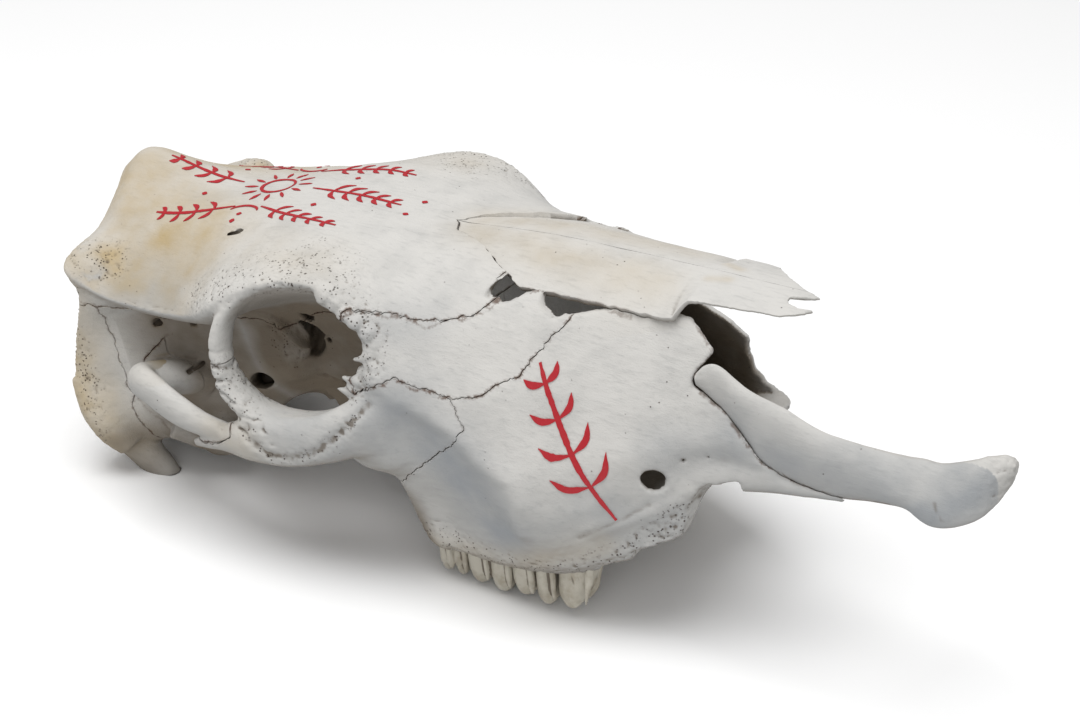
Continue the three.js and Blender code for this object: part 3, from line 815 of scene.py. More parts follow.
@dataclass(frozen=True)
class Processes:
    """Knobs and processes at the back and under the skull, each as half sizes round a middle."""

    eggs: Rows = (
        (35, 66, 163, 12, 9.5, 9), (62, 42, 62, 15, 10, 13), (3, 24, 70, 14, 13, 15),
        (7, 32, 84, 12, 10, 12),
    )
    mastoid: Rows = (
        (11, 74, 108, 5, 4), (14, 73, 95, 8, 8), (18, 71, 80, 10, 10), (23, 67, 66, 7, 7),
    )
    paracondylar: Rows = (
        (14, 60, 78, 9, 12), (20, 59, 62, 8, 10), (30, 57, 46, 6, 8), (34, 56, 40, 5, 5),
    )
    ear_tube: Rows = ((52, 62, 74, 6, 6), (62, 52, 62, 5, 5), (74, 42, 52, 3, 3))
    spike: Rows = ((321, 53, 20, 2.6, 2.6), (319, 54.5, 14, 1.6, 1.7), (318, 55, 9.6, 0.8, 0.8))
    wing: Outline = Outline(
        ((130, 78), (206, 78), (206, 40), (190, 36), (170, 40), (158, 36), (148, 41), (143, 54), (134, 68)),
        0.8, 4, 61)
    wing_reach: Pair = (22, 27)

    def shells(self, sign: int) -> list[Shell]:
        """All of them on one side.

        Args:
            sign: which side.

        Returns:
            Their closed surfaces.
        """
        lumps = [side_egg(sign, row) for row in self.eggs]
        bars = [side_bar(sign, rows) for rows in (self.mastoid, self.paracondylar, self.ear_tube, self.spike)]
        near, far = self.wing_reach
        return lumps + bars + [self.wing.beside(sign, near, far=far)]


@dataclass(frozen=True)
class MuzzleBase:
    """The tapering front of each upper jaw bone, which carries the premaxilla."""

    rows: Rows = ((322, 50, 42, 6, 12), (346, 44, 48, 5, 9), (372, 39, 44, 4, 6))
    ends: dict[int, Row] = field(default_factory=lambda: {
        RIGHT: (413, 37, 35.5, 2, 2), LEFT: (352, 37, 41, 2, 2)})

    def shell(self, sign: int) -> Shell:
        """The bar on one side: whole on the right, broken short on the left."""
        return side_bar(sign, [*self.rows, self.ends[sign]])


@dataclass(frozen=True)
class NasalPlates:
    """The two nasal bones: thin arched plates on the front of the face that reach over its opening."""

    profile: tuple[Pair, ...] = (
        (200, 160.7), (212, 157), (224, 154), (246, 150.5), (272, 146), (302, 139), (332, 131.5),
        (350, 127), (384, 118), (410, 111))
    rear: tuple[Pair, ...] = ((0, 219), (0.25, 224), (0.5, 244), (0.75, 257), (1, 270))
    fronts: dict[int, tuple[Pair, ...]] = field(default_factory=lambda: {
        RIGHT: ((0, 398), (0.1, 401), (0.2, 399), (0.28, 391), (0.42, 389), (0.6, 393), (0.88, 403),
                (1, 401)),
        LEFT: ((0, 396), (0.25, 388), (0.5, 381), (1, 369))})
    half_width: tuple[Pair, ...] = (
        (219, 37), (272, 37), (300, 34.5), (340, 33.3), (346, 32), (350, 28), (356, 26.5), (392, 22),
        (403, 15))
    curl: tuple[Pair, ...] = ((219, 6), (272, 8), (300, 10), (345, 11), (352, 3.5), (403, 3.5))
    arch_width: float = 33.0
    along: int = 190
    across: int = 46

    def sheet(self, sign: int, margin: float = 0.0, above: float = 0.0) -> Shell:
        """One plate, or the room it takes: rows of points over it and then under it. Across the plate
        its height falls by the curl times the 1.8th power of the share of the arch's width.

        Args:
            sign: which side.
            margin: how far the room reaches past the plate's edges.
            above: how far the room reaches over the plate.

        Returns:
            The closed sheet.
        """
        u, v = np.meshgrid(np.linspace(0, 1, self.along), np.linspace(0, 1, self.across), indexing="ij")
        place = np.stack([np.zeros(self.across), v[0] * 40 * sign, np.zeros(self.across)], -1)
        knit = 1.3 * lattice(place, 2.2, 11) + 0.9 * lattice(place, 5.5, 12)
        broken = 0.7 * lattice(place, 2.6, 13 + sign) + 0.4 * lattice(place, 1.1, 15 + sign)
        rear = np.interp(v, *zip(*self.rear)) + knit
        front = np.interp(v, *zip(*self.fronts[sign])) + broken
        edge_u = margin * ((u == 1) * 1.0 - (u == 0))
        edge_v = margin * ((v == 1) * 1.0 - (v == 0))
        x = rear + (front - rear) * u
        half = np.interp(x, *zip(*self.half_width))
        line = np.stack([x.ravel(), np.zeros(x.size), np.full(x.size, 50.0 * sign)], -1)
        half = half + (0.35 * lattice(line, 3.0, 17) + 0.25 * lattice(line, 1.3, 18)).reshape(x.shape)
        w = NASAL_GAP + (half - NASAL_GAP) * v
        curl = np.interp(x, *zip(*self.curl)) * (1 + (1.3 * ease(x, 342, 350) if sign == LEFT else 0.0))
        bend = w / self.arch_width
        knots = spline(np.array(self.profile), 12)
        height = np.interp(x, knots[:, 0], knots[:, 1]) - curl * bend**1.8
        slope = sign * 1.8 * curl * bend**0.8 / self.arch_width
        out = unit(np.stack([np.zeros_like(x), slope, np.ones_like(x)], -1))
        skin = np.stack([x + 2 * edge_u, sign * (w + edge_v), height], -1)
        free = ease(x, 338, 362)[..., None]
        to_edge = np.minimum((front - x), (half - w) * 0.8)[..., None]
        thin = 0.0 if margin else free * (0.9 + 0.9 * ease(-to_edge, -6, 0))
        worn = 0.0 if margin else free * 0.5 * ease(-to_edge, -1.4, 0)
        under = -NASAL_THICKNESS - margin + thin
        return sheet(np.concatenate([skin + (above - worn) * out, (skin + under * out)[:, ::-1]], axis=1))

    def outline(self, sign: int) -> Array:
        """The plate's edge from above, as rows of x and y, from the rear middle round to the front."""
        top = self.sheet(sign).points.reshape(self.along, 2 * self.across, 3)[:, :self.across, :2]
        return np.vstack([top[0], top[:, -1], top[-1, ::-1]])


@dataclass(frozen=True)
class Premaxilla:
    """The bowed blade that ends in a flat paddle at the muzzle. Stations hold the middle x, w, z, the
    half height, the half thickness and how far the lower edge leans outwards."""

    stations: Rows = (
        (353, 36, 90, 3, 2, 0), (359, 36.5, 89, 8, 2.6, 0), (365, 36.5, 85, 12, 3, 0),
        (378, 37, 68, 17.5, 4, 0), (392, 36.5, 59.5, 18, 4.6, 0), (408, 36, 50.8, 15.5, 5, 0),
        (425, 34, 46, 12.5, 5.5, 1.2), (441, 33.5, 42.5, 10.5, 5.5, 3.5), (449, 33, 38, 12.8, 5, 4.7),
        (457, 32, 36, 12.5, 4.6, 5), (469, 27, 36.5, 11.8, 4.2, 4), (477, 22, 39.5, 9.5, 3.6, 2),
        (482, 18, 42, 5.5, 3, 0), (484, 17, 43, 2, 2, 0))
    steps: int = 12
    around: int = 72

    def shell(self, sign: int, margin: float = 0.0) -> Shell:
        """The blade, or the room it takes: at each station an ellipse whose middle shifts with height.

        Args:
            sign: which side.
            margin: how far the room reaches past the blade.

        Returns:
            The closed surface.
        """
        rows = spline(np.array(self.stations), self.steps)
        a = np.linspace(0, 2 * math.pi, self.around, endpoint=False)
        x, w, z, tall, thick, lean = (rows[:, i, None] for i in range(6))
        end = np.where(np.arange(len(rows)) == 0, -margin, 0.0)[:, None]
        grid = np.stack([x + end + 0 * a, sign * (w + (thick + margin) * np.cos(a) - lean * np.sin(a)),
                         z + (tall + margin) * np.sin(a)], -1)
        if not margin:
            flat = grid.reshape(-1, 3)
            worn = ease(flat[:, 0], 466, 478) * (0.9 * lattice(flat, 4.5, 61) + 0.5 * lattice(flat, 1.8, 62))
            grid += (worn[:, None] * (1.0, 0.0, 0.6)).reshape(grid.shape)
        return tube(grid)


# Openings


@dataclass(frozen=True)
class Openings:
    """Holes and broken edges cut into the clay."""

    nose_room: Outline = Outline(((252, 150), (252, 36), (300, 36), (345, 44), (400, 44), (400, 150)))
    fontanelle: Outline = Outline((
        (259.5, 135), (261, 139), (269.5, 142.5), (273, 147.5), (285.5, 137), (283, 134.5),
        (267, 131.5)), 0.6, 2.5, 21, 0.4)
    nasal_gap: Outline = Outline((
        (284, 133), (285.5, 127.5), (290.4, 123.2), (303, 122.3), (317, 122.4), (321, 124.5),
        (318, 128)), 0.5, 2.2, 22, 0.4)
    fronts: dict[int, Outline] = field(default_factory=lambda: {
        RIGHT: Outline((
            (338, 119), (345, 117.5), (351, 115), (355, 109), (359, 103.5), (361.5, 99.5), (357, 97),
            (352, 92), (351, 88), (354, 86), (366.5, 74.2), (378.5, 52.4), (393, 42.6), (420.5, 34.6),
            (440, 34.6), (440, 150), (338, 150)), 0.55, 3, 23),
        LEFT: Outline((
            (305, 92), (317, 82), (326, 71), (322, 60), (323, 52), (335, 44), (341, 42.5), (347, 38),
            (354, 32), (354, 16), (430, 16), (430, 150), (338, 150), (337, 119), (324, 119),
            (314, 110)), 1.0, 4, 24)})
    palate: Outline = Outline(((340, 50), (340, 20), (420, 20), (420, 50)))
    edge: Outline = Outline((
        (291, 8.5), (300, 10), (310.5, 10.6), (311.5, 15.2), (322, 17), (335, 19.4), (336.3, 22.5),
        (340, 33), (344.5, 40), (352, 43.5), (366, 44.6), (366, 0), (291, 0)), 0.6, 2.6, 25)
    canal: Rows = ((-30, 0, 81, 22, 17), (20, 0, 83, 20, 15.5), (34, 0, 84, 17, 13))
    holes: tuple[Rows, ...] = (
        ((339, 65, 48.4, 7.4, 7.0), (334, 59, 49.6, 6.8, 6.6), (327, 53, 53, 3.4, 3.4),
         (318, 48, 60, 2.6, 2.6)),
        ((217.4, 66, 15.5, 4.6, 1.3), (217.4, 56, 13.5, 4.0, 1.2)),
        ((243.6, 66, 9.5, 3.2, 1.2), (243.6, 56, 8.5, 3.0, 1.1)),
        ((262.5, 66, 7.0, 2.0, 2.6), (262.5, 55, 7.0, 2.0, 2.2)),
        ((301, 62, 121, 1.4, 1.4), (302, 45, 116, 1.4, 1.4)),
        ((346, 54, 57, 0.8, 0.8), (343, 44, 57, 0.8, 0.8)),
        ((357, 52, 57, 0.7, 0.7), (354, 42, 57, 0.7, 0.7)),
        ((122, 43, 171, 2.2, 1.0), (108, 44, 167, 2.4, 1.6), (92, 45, 158, 2.6, 2.2)),
        ((156, 46, 135, 2.4, 2.6), (146, 20, 129, 2.4, 2.6)),
        ((152, 48, 129, 3.6, 4.2), (142, 24, 123, 4.4, 4.8)),
        ((133, 54, 125.5, 1.0, 2.2), (126, 40, 121, 1.0, 1.8)),
        ((155, 44, 113, 1.3, 1.3), (150, 30, 110, 1.2, 1.2)),
        ((108, 52, 93, 7.2, 4.6), (98, 34, 89, 6.0, 4.4), (88, 22, 84, 4.0, 3.6)),
        ((107, 50, 89.5, 5.0, 3.4), (115, 42, 81, 7.0, 4.4), (121, 33, 74, 9.0, 4.6)),
        ((121, 34, 74.5, 12.5, 6.0), (115, 30, 71.5, 12.5, 6.4), (84, 0, 56.5, 12.5, 6.4),
         (52, -30, 42.5, 12.5, 6.0)),
        ((58, 68, 131, 2.0, 1.4), (60, 50, 130, 2.0, 1.4)),
        ((79, 66, 129, 2.2, 1.8), (78, 46, 127, 2.0, 1.6)),
        ((74, 62, 104, 1.6, 1.6), (76, 40, 104, 1.6, 1.6)),
        ((83, 60, 110, 1.7, 1.7), (82, 42, 109, 1.7, 1.7)),
        ((88, 58, 109.5, 1.2, 1.2), (87, 42, 109, 1.2, 1.2)),
    )

    def cut(self, clay: Clay, cranium: Cranium) -> None:
        """Cuts them all.

        Args:
            clay: the skull's clay.
            cranium: the body, whose lining bounds the nose.
        """
        clay.without(cranium.shell(FACE_SHELL), self.nose_room.across(-70, 70), 1.5)
        clay.cut(bar(self.canal, 12, 40), 3.0)
        clay.cut(self.palate.across(-32, 32), 1.0)
        reach = {RIGHT: (-90, 0.15), LEFT: (-0.15, 90)}
        for sign in SIDES:
            clay.cut(self.fontanelle.beside(sign, 30, far=64), 0.6)
            clay.cut(self.nasal_gap.beside(sign, 28, far=52), 0.6)
            clay.cut(self.edge.beside(sign, 36, far=70), 0.5)
            clay.cut(self.fronts[sign].across(*reach[sign]), 0.8)
            for rows in self.holes:
                clay.cut(side_bar(sign, rows, 6, 24), 0.8)


# Sculpting


@dataclass(frozen=True)
class Stroke:
    """A ridge, or a furrow where its height is below nought, pressed along a line on the bone."""

    line: tuple[Pair, ...]
    radius: float
    height: float
    view: View = View.SIDE
    least: float = 30.0

    def amount(self, points: Array, normals: Array) -> Array:
        """How far each point moves along its normal: the height times a bell curve of the distance.

        Args:
            points: rows in the skull's frame.
            normals: the surface's directions there.

        Returns:
            One distance for each row.
        """
        if self.view is View.SIDE:
            facing = np.sign(points[:, 1]) * normals[:, 1]
            seen = ease(facing, -0.1, 0.3) * (np.abs(points[:, 1]) > self.least)
        else:
            seen = ease(normals[:, 2], 0.0, 0.4) * (points[:, 2] > self.least)
        near = np.flatnonzero(seen)
        total = np.zeros(len(points))
        total[near] = self.height * bell(seen_from(points[near], self.view), self.line, self.radius)
        return total * seen


@dataclass
class Surface:
    """A fine mesh that is sculpted: its points, faces and the edges between neighbours."""

    shell: Shell

    def __post_init__(self) -> None:
        """Finds the edges once."""
        q = self.shell.quads
        pairs = np.sort(np.stack([q, np.roll(q, -1, axis=1)], -1).reshape(-1, 2), axis=1)
        self.edges = np.unique(pairs, axis=0)
        self.degree = np.bincount(self.edges.ravel(), minlength=len(self.shell.points))

    def normals(self) -> Array:
        """Directions out of the surface: the mean of the faces' cross products of diagonals.

        Returns:
            One unit row for each point.
        """
        p, q = self.shell.points, self.shell.quads
        face = np.cross(p[q[:, 2]] - p[q[:, 0]], p[q[:, 3]] - p[q[:, 1]])
        total = np.stack([np.bincount(q.ravel(), np.repeat(face[:, i], 4), len(p)) for i in range(3)], -1)
        return unit(total)

    def mean(self, values: Array) -> Array:
        """The mean of each point's neighbours.

        Args:
            values: one row for each point.

        Returns:
            The mean rows.
        """
        a, b = self.edges.T
        both = [np.bincount(a, values[b, i], len(values)) + np.bincount(b, values[a, i], len(values))
                for i in range(values.shape[1])]
        return np.stack(both, -1) / np.maximum(self.degree, 1)[:, None]

    def relax(self, rounds: int) -> None:
        """Moves points towards the mean of their neighbours and partly back, so that thin bone keeps
        its thickness.

        Args:
            rounds: how many times.
        """
        for _ in range(rounds):
            for factor in (SHRINK, SWELL):
                self.shell.points += factor * (self.mean(self.shell.points) - self.shell.points)


@dataclass(frozen=True)
class Sculpture:
    """Ridges, hollows and rough places worked into the fused surface."""

    strokes: tuple[Stroke, ...] = (
        Stroke(((214, 110), (220, 100), (234, 92), (246, 83), (256, 70), (272, 58), (272, 48),
                (268, 33)), 5, 1.6),
        Stroke(((222, 84), (238, 70), (250, 52), (256, 36)), 13, -2.6),
        Stroke(((210, 20), (240, 13), (285, 10), (306, 15)), 5, 1.3),
        Stroke(((300, 30), (322, 33), (344, 40)), 4, 1.0),
        Stroke(((346, 51), (360, 55)), 7, -1.4),
        Stroke(((322, 62), (345, 66), (368, 62)), 7, 0.9),
        Stroke(((232, 116), (250, 110), (268, 112)), 9, -1.2),
        Stroke(((139, 90), (150, 79), (162, 76), (179, 80), (196, 90), (207, 99)), 2.4, -1.3),
        Stroke(((294, 27), (304, 30.5), (314, 33.5), (327, 39)), 1.8, -0.5),
        Stroke(((60, 60), (90, 66)), 14, -2.4, View.TOP, 120),
        Stroke(((88, 40), (140, 38), (176, 46)), 12, 0.8, View.TOP, 120),
        Stroke(((108, 45), (128, 42)), 4, -1.2, View.TOP, 120),
        Stroke(((235, 12), (285, 14)), 10, 0.7, View.TOP, 100),
        Stroke(((300, 16), (345, 15)), 9, -0.7, View.TOP, 90),
    )
    rough: tuple[Mark, ...] = (
        (((112, 150), (130, 156), (150, 160), (176, 160), (196, 152), (208, 140)), 7, 0.9, View.SIDE),
        (((210, 24), (240, 12), (290, 8), (320, 18), (345, 34)), 9, 0.8, View.SIDE),
        (((131, 120), (133, 104), (143, 92)), 8, 1.0, View.SIDE),
        (((196, 150), (206, 140), (213, 128), (212, 118), (204, 106)), 8, 1.0, View.SIDE),
        (((139, 88), (150, 78), (164, 76), (182, 81), (200, 94)), 5, 0.7, View.SIDE),
        (((10, 180), (18, 130), (16, 80)), 9, 0.7, View.SIDE),
        (((30, 66), (44, 62)), 12, 0.9, View.TOP),
    )

    def rough_at(self, points: Array) -> Array:
        """How rough the bone is along the rims, the sockets and the crest.

        Args:
            points: rows in the skull's frame.

        Returns:
            One value from 0 to 1 for each row.
        """
        w = np.abs(points[:, 1])
        total = np.zeros(len(points))
        for line, radius, share, view in self.rough:
            outer = (w > 45) if view is View.SIDE else (points[:, 2] > 150)
            total = np.maximum(total, share * outer * bell(seen_from(points, view), line, radius))
        return total

    def carve(self, surface: Surface) -> None:
        """Softens the joints between the forms, then presses the strokes and the roughness in.

        Args:
            surface: the fused body, which is changed.
        """
        surface.relax(4)
        p, n = surface.shell.points, surface.normals()
        p += n * sum(stroke.amount(p, n) for stroke in self.strokes)[:, None]
        rough = self.rough_at(p)
        pits = np.minimum(lattice(p, 2.1, 31) + 0.25, 0) * 1.5 + 0.42 * lattice(p, 1.5, 32)
        wave = 0.45 * layers(p, 16, 33, 2) + 0.14 * layers(p * (0.35, 1, 1), 2.6, 35, 2)
        bars = self.wrinkles(p)
        p += n * (wave + rough * pits + bars)[:, None]

    def wrinkles(self, p: Array) -> Array:
        """Deep cross furrows on the bar behind the orbit: sharp troughs of a sine of the height, bent
        by noise, where the bar's outer face is.

        Args:
            p: points in the skull's frame.

        Returns:
            How far each point moves along its normal.
        """
        rear_rim = ((130, 126), (131, 112), (139, 97), (150, 88))
        on_bar = bell(seen_from(p, View.SIDE), rear_rim, 6.0) * (np.abs(p[:, 1]) > 80)
        phase = (p[:, 2] + 0.45 * p[:, 0]) / 1.15 + 3.2 * lattice(p, 6, 36)
        trough = np.maximum(np.sin(phase), 0) ** 3
        gate = ease(lattice(p, 4, 37), -0.35, 0.25)
        return -2.1 * on_bar * trough * gate


# Meshes in the room


def put_mesh(name: str, points: Array, faces: list) -> Piece:
    """A mesh object with its place in its mesh.

    Args:
        name: the piece's name.
        points: rows in metres, or in millimetres for a tool that only cuts.
        faces: rows of corners.

    Returns:
        The object, linked to the scene.
    """
    mesh = bpy.data.meshes.new(name)
    mesh.from_pydata(points.tolist(), [], faces)
    mesh.update()
    piece = bpy.data.objects.new(name, mesh)
    bpy.context.scene.collection.objects.link(piece)
    return piece


def tool_of(shell: Shell, name: str = "tool") -> Piece:
    """A shell as an object in millimetres, for a cut."""
    return put_mesh(name, shell.points, shell.faces())


def worked(body: Piece, tool: Piece, operation: Operation) -> Piece:
    """A copy of a body with a tool cut out of it, or with only what lies inside the tool.

    Args:
        body: a closed mesh object.
        tool: a closed mesh object.
        operation: whether to cut or to keep.

    Returns:
        A new object.
    """
    made = bpy.data.objects.new(body.name, body.data)
    bpy.context.scene.collection.objects.link(made)
    modifier = made.modifiers.new("work", "BOOLEAN")
    modifier.operation = operation.value
    modifier.solver = "MANIFOLD"
    modifier.object = tool
    graph = bpy.context.evaluated_depsgraph_get()
    mesh = bpy.data.meshes.new_from_object(made.evaluated_get(graph))
    made.modifiers.clear()
    made.data = mesh
    return made


def drop(*pieces: Piece) -> None:
    """Removes objects that were only tools."""
    for piece in pieces:
        mesh = piece.data
        bpy.data.objects.remove(piece)
        if not mesh.users:
            bpy.data.meshes.remove(mesh)


def rows_of(source: bpy.types.bpy_prop_collection, name: str) -> Array:
    """A mesh's own values as an array.

    Args:
        source: its points or normals.
        name: which value of theirs, of three numbers each.

    Returns:
        One row for each.
    """
    flat = np.zeros(len(source) * 3, np.float32)
    source.foreach_get(name, flat)
    return flat.reshape(-1, 3).astype(float)


def coordinates(mesh: Mesh) -> Array:
    """The points of a mesh as rows."""
    return rows_of(mesh.vertices, "co")


def directions(mesh: Mesh) -> Array:
    """The normals of a mesh's points as rows."""
    return rows_of(mesh.vertex_normals, "vector")


def joined(parts: Sequence[tuple[Array, Array]]) -> tuple[Array, list]:
    """Several surfaces as one.

    Args:
        parts: the points and the faces of each.

    Returns:
        All the points, and all the faces counted on.
    """
    faces, count = [], 0
    for points, some in parts:
        faces += (some + count).tolist()
        count += len(points)
    return np.vstack([points for points, _ in parts]), faces


def write_value(mesh: Mesh, name: str, values: Array) -> None:
    """Puts one number on each point, for a material to read."""
    layer = mesh.attributes.new(name, "FLOAT", "POINT")
    layer.data.foreach_set("value", np.asarray(values, np.float32))


# How the skull parts into its bones


@dataclass(frozen=True)
class Parting:
    """The knitted lines between the bones, as side-view outlines with a ragged edge."""

    frontal: Outline = Outline((
        (-30, 152), (24, 150), (48, 141), (66, 131), (120, 128), (128, 124), (146, 124), (160, 131),
        (194, 131), (206, 143), (216, 139), (236, 129.5), (255, 129), (266, 133), (262, 140), (274, 152),
        (274, 230), (-30, 230)), 1.0, 2.2, 41)
    lacrimal: Outline = Outline((
        (196, 131), (206, 143), (216, 139), (236, 129.5), (255, 129), (266, 133), (285, 135), (294, 131),
        (306, 130), (298, 122), (288, 113), (278, 103), (259, 97), (248, 98), (230, 105), (223, 110),
        (207, 106), (200, 104)), 1.0, 2.2, 41)
    cheek: Outline = Outline((
        (200, 104), (207, 106), (223, 110), (230, 105), (248, 98), (252, 84), (240, 74), (222, 66),
        (205, 56), (150, 55), (92, 72), (92, 86), (106, 82), (118, 83.5), (129, 88), (131, 94),
        (110, 112), (112, 124), (146, 124), (170, 118)), 0.9, 2.4, 41)
    temporal: Outline = Outline((
        (36, 56), (36, 90), (48, 112), (62, 122), (92, 124), (112, 114), (131, 98), (129.7, 88),
        (118, 84.5), (106, 83), (92, 86.3), (88, 72), (78, 56)), 0.4, 3.0, 41)
    occipital: Outline = Outline((
        (-60, 0), (-60, 152), (24, 150), (36, 146), (36, 100), (44, 80), (44, 0)), 0.8, 2.6, 42)
    face: Outline = Outline(((500, -40), (500, 200), (203, 200), (203, 60), (192, 60), (192, -40)))
    braincase_end: Outline = Outline(((202.6, -40), (202.6, 200), (260, 200), (260, -40)))

    def bones(self, whole: Piece, cranium: Cranium) -> dict[str, Piece]:
        """Parts the fused skull, with an open line between neighbours.

        Args:
            whole: the fused skull in millimetres.
            cranium: the body, whose lining bounds the lacrimal patch.

        Returns:
            The bones by name, in millimetres.
        """
        bones: dict[str, Piece] = {}
        rest = whole

        def clear(tool: Piece) -> None:
            """Cuts a tool out of the rest.

            Args:
                tool: a closed mesh object.
            """
            nonlocal rest
            smaller = worked(rest, tool, Operation.CUT)
            if rest is not whole:
                drop(rest)
            rest = smaller

        def take(name: str, inside: Shell, cleared: Shell, floor: Shell | None = None) -> None:
            """Takes one bone out of the rest and clears the line round it.

            Args:
                name: the bone's name.
                inside: the room that it takes.
                cleared: the same with the line.
                floor: what stays under it, where it is only a patch.
            """
            tools = [tool_of(inside), tool_of(cleared)]
            if floor is not None:
                lining = tool_of(floor)
                tools += [lining, *(worked(tool, lining, Operation.CUT) for tool in tools)]
            bones[name] = worked(rest, tools[-2], Operation.KEEP)
            bones[name].name = name
            clear(tools[-1])
            drop(*tools)
            log.info("parted %s: %d faces", name, len(bones[name].data.polygons))

        patch = cranium.shell(LACRIMAL_DEPTH)
        beside = (("temporal", self.temporal, 57, None), ("zygomatic", self.cheek, 63, None),
                  ("lacrimal", self.lacrimal, 36, patch))
        for sign in SIDES:
            room = tool_of(NasalPlates().sheet(sign, SEAM, NASAL_ROOM))
            clear(room)
            drop(room)
            for name, outline, near, floor in beside:
                cleared = outline.beside(sign, near, SEAM)
                take(f"{name}_{SIDE_NAMES[sign]}", outline.beside(sign, near), cleared, floor)
        for name, outline in (("frontal", self.frontal), ("occipital", self.occipital)):
            take(name, outline.across(-BESIDE, BESIDE), outline.across(-BESIDE, BESIDE, SEAM))
        for sign in SIDES:
            half = SEAM / 2
            reach = (-BESIDE, -half) if sign < 0 else (half, BESIDE)
            to_middle = (-BESIDE, 0.0) if sign < 0 else (0.0, BESIDE)
            take(f"maxilla_{SIDE_NAMES[sign]}", self.face.across(*reach), self.face.across(*to_middle, SEAM))
        end = tool_of(self.braincase_end.across(-BESIDE, BESIDE))
        bones["braincase"] = worked(rest, end, Operation.CUT)
        drop(end, rest)
        blade = tool_of(Premaxilla().shell(RIGHT, SEAM))
        jaw = bones["maxilla_right"]
        bones["maxilla_right"] = worked(jaw, blade, Operation.CUT)
        drop(blade, jaw)
        return bones


# Teeth


@dataclass(frozen=True)
class CheekTooth:
    """One upper cheek tooth as upright columns, an outer and an inner row: where it starts at the back
    and how long and wide it is at the gum, its lowest tip, its columns and its backward lean."""

    back: float
    length: float
    width: float
    tip: float
    columns: int
    lean: float
    seed: int

    def column(self, x: float, w: float, half: float, thick: float, end: float) -> Shell:
        """One column from its root down to its worn tip, as a bar that swells a little and then tapers.

        Args:
            x: its middle at the gum.
            w: its distance to the middle plane.
            half: half its length along the row.
            thick: half its width.
            end: the height of its tip.

        Returns:
            The closed surface.
        """
        slim = 1.0 if self.columns > 1 else 0.58
        levels = ((30, 0.8, 0.74), (16, 0.95, 0.92), (5, 1.0, 1.0), (end + 7, 0.94, 0.5 + 0.5 * slim),
                  (end + 2.2, 0.7, 0.72 * slim), (end, 0.34, 0.3 * slim))
        return bar([(x + (z - 8) * self.lean, -w, z, thick * a, half * b) for z, a, b in levels], 6, 32)

    def surface(self, middle: float, cube: float) -> Surface:
        """The tooth of the right side: its columns and the slim ribs between them joined in clay round a
        core, with the hollows of the chewing face cut.

        Args:
            middle: half width of the skull at the tooth row.
            cube: the size of a cube of the clay.

        Returns:
            The fused surface.
        """
        share = self.length / self.columns
        low = (self.back - 22, -middle - 15, -27)
        high = (self.back + self.length + 12, -middle + 15, 34)
        clay = Clay.block(low, high, cube)
        centre = self.back + self.length / 2
        clay.add(self.column(centre, middle, self.length / 2 - 2.2, self.width * 0.3, self.tip + 5))
        hollows = []
        for n in range(self.columns):
            x = self.back + share * (n + 0.5)
            end = self.tip - (x - centre) * math.tan(REST_PITCH)
            broad = 0.45 + 0.05 * math.sin(self.seed * 2.3 + n * 2.1)
            for out, rise in ((1, OUTER_RISE + 0.9 * (1 + math.sin(self.seed + 1.9 * n))), (-1, 0.0)):
                w = middle + out * self.width * 0.225
                clay.add(self.column(x, w, share * broad, self.width * 0.275, end + rise), 1.3)
                place = (x + (end - 8) * self.lean, -(middle + out * self.width * 0.12), end + rise + 1.0)
                hollows.append(egg(place, (share * 0.26, 1.1, 4.2), 14))
            rib = self.back + share * (n + 1) - 0.8
            clay.add(self.column(rib, middle + self.width * 0.41, 1.5, 2.0, end + OUTER_RISE + 3.2), 0.9)
        for hollow in hollows:
            clay.cut(hollow, 0.7)
        made = Surface(largest(clay.surface()))
        made.relax(2)
        p = made.shell.points
        grain = (0.22 * lattice(p * (1, 1, 0.3), 1.7, self.seed)
                 + 0.7 * lattice(p * (1, 1, 0.7), 6.5, self.seed + 9))
        p += made.normals() * grain[:, None]
        return made


@dataclass(frozen=True)
class ToothRow:
    """The four cheek teeth that each side keeps, back to front."""

    teeth: tuple[CheekTooth, ...] = (
        CheekTooth(200, 17.2, 19, -4.8, 2, 0.18, 51), CheekTooth(217.4, 25.4, 21, -11, 2, 0.18, 52),
        CheekTooth(243, 24.8, 21, -15.7, 2, 0.18, 53), CheekTooth(268, 21.5, 19, -19, 1, 0.4, 54))
    middle: float = 52.0

    def pieces(self, cube: float) -> list[Piece]:
        """Both rows, each as one piece: the right one is shaped and the left one mirrors it.

        Args:
            cube: the size of a cube of the clay.

        Returns:
            The objects, in millimetres.
        """
        rows = []
        shells = [tooth.surface(self.middle, cube).shell for tooth in self.teeth]
        for sign in SIDES:
            side = shells if sign == RIGHT else [shell.mirrored() for shell in shells]
            parts = [(shell.points, shell.quads) for shell in side]
            rows.append(put_mesh(f"teeth_{SIDE_NAMES[sign]}", *joined(parts)))
        return rows


# Painted figures


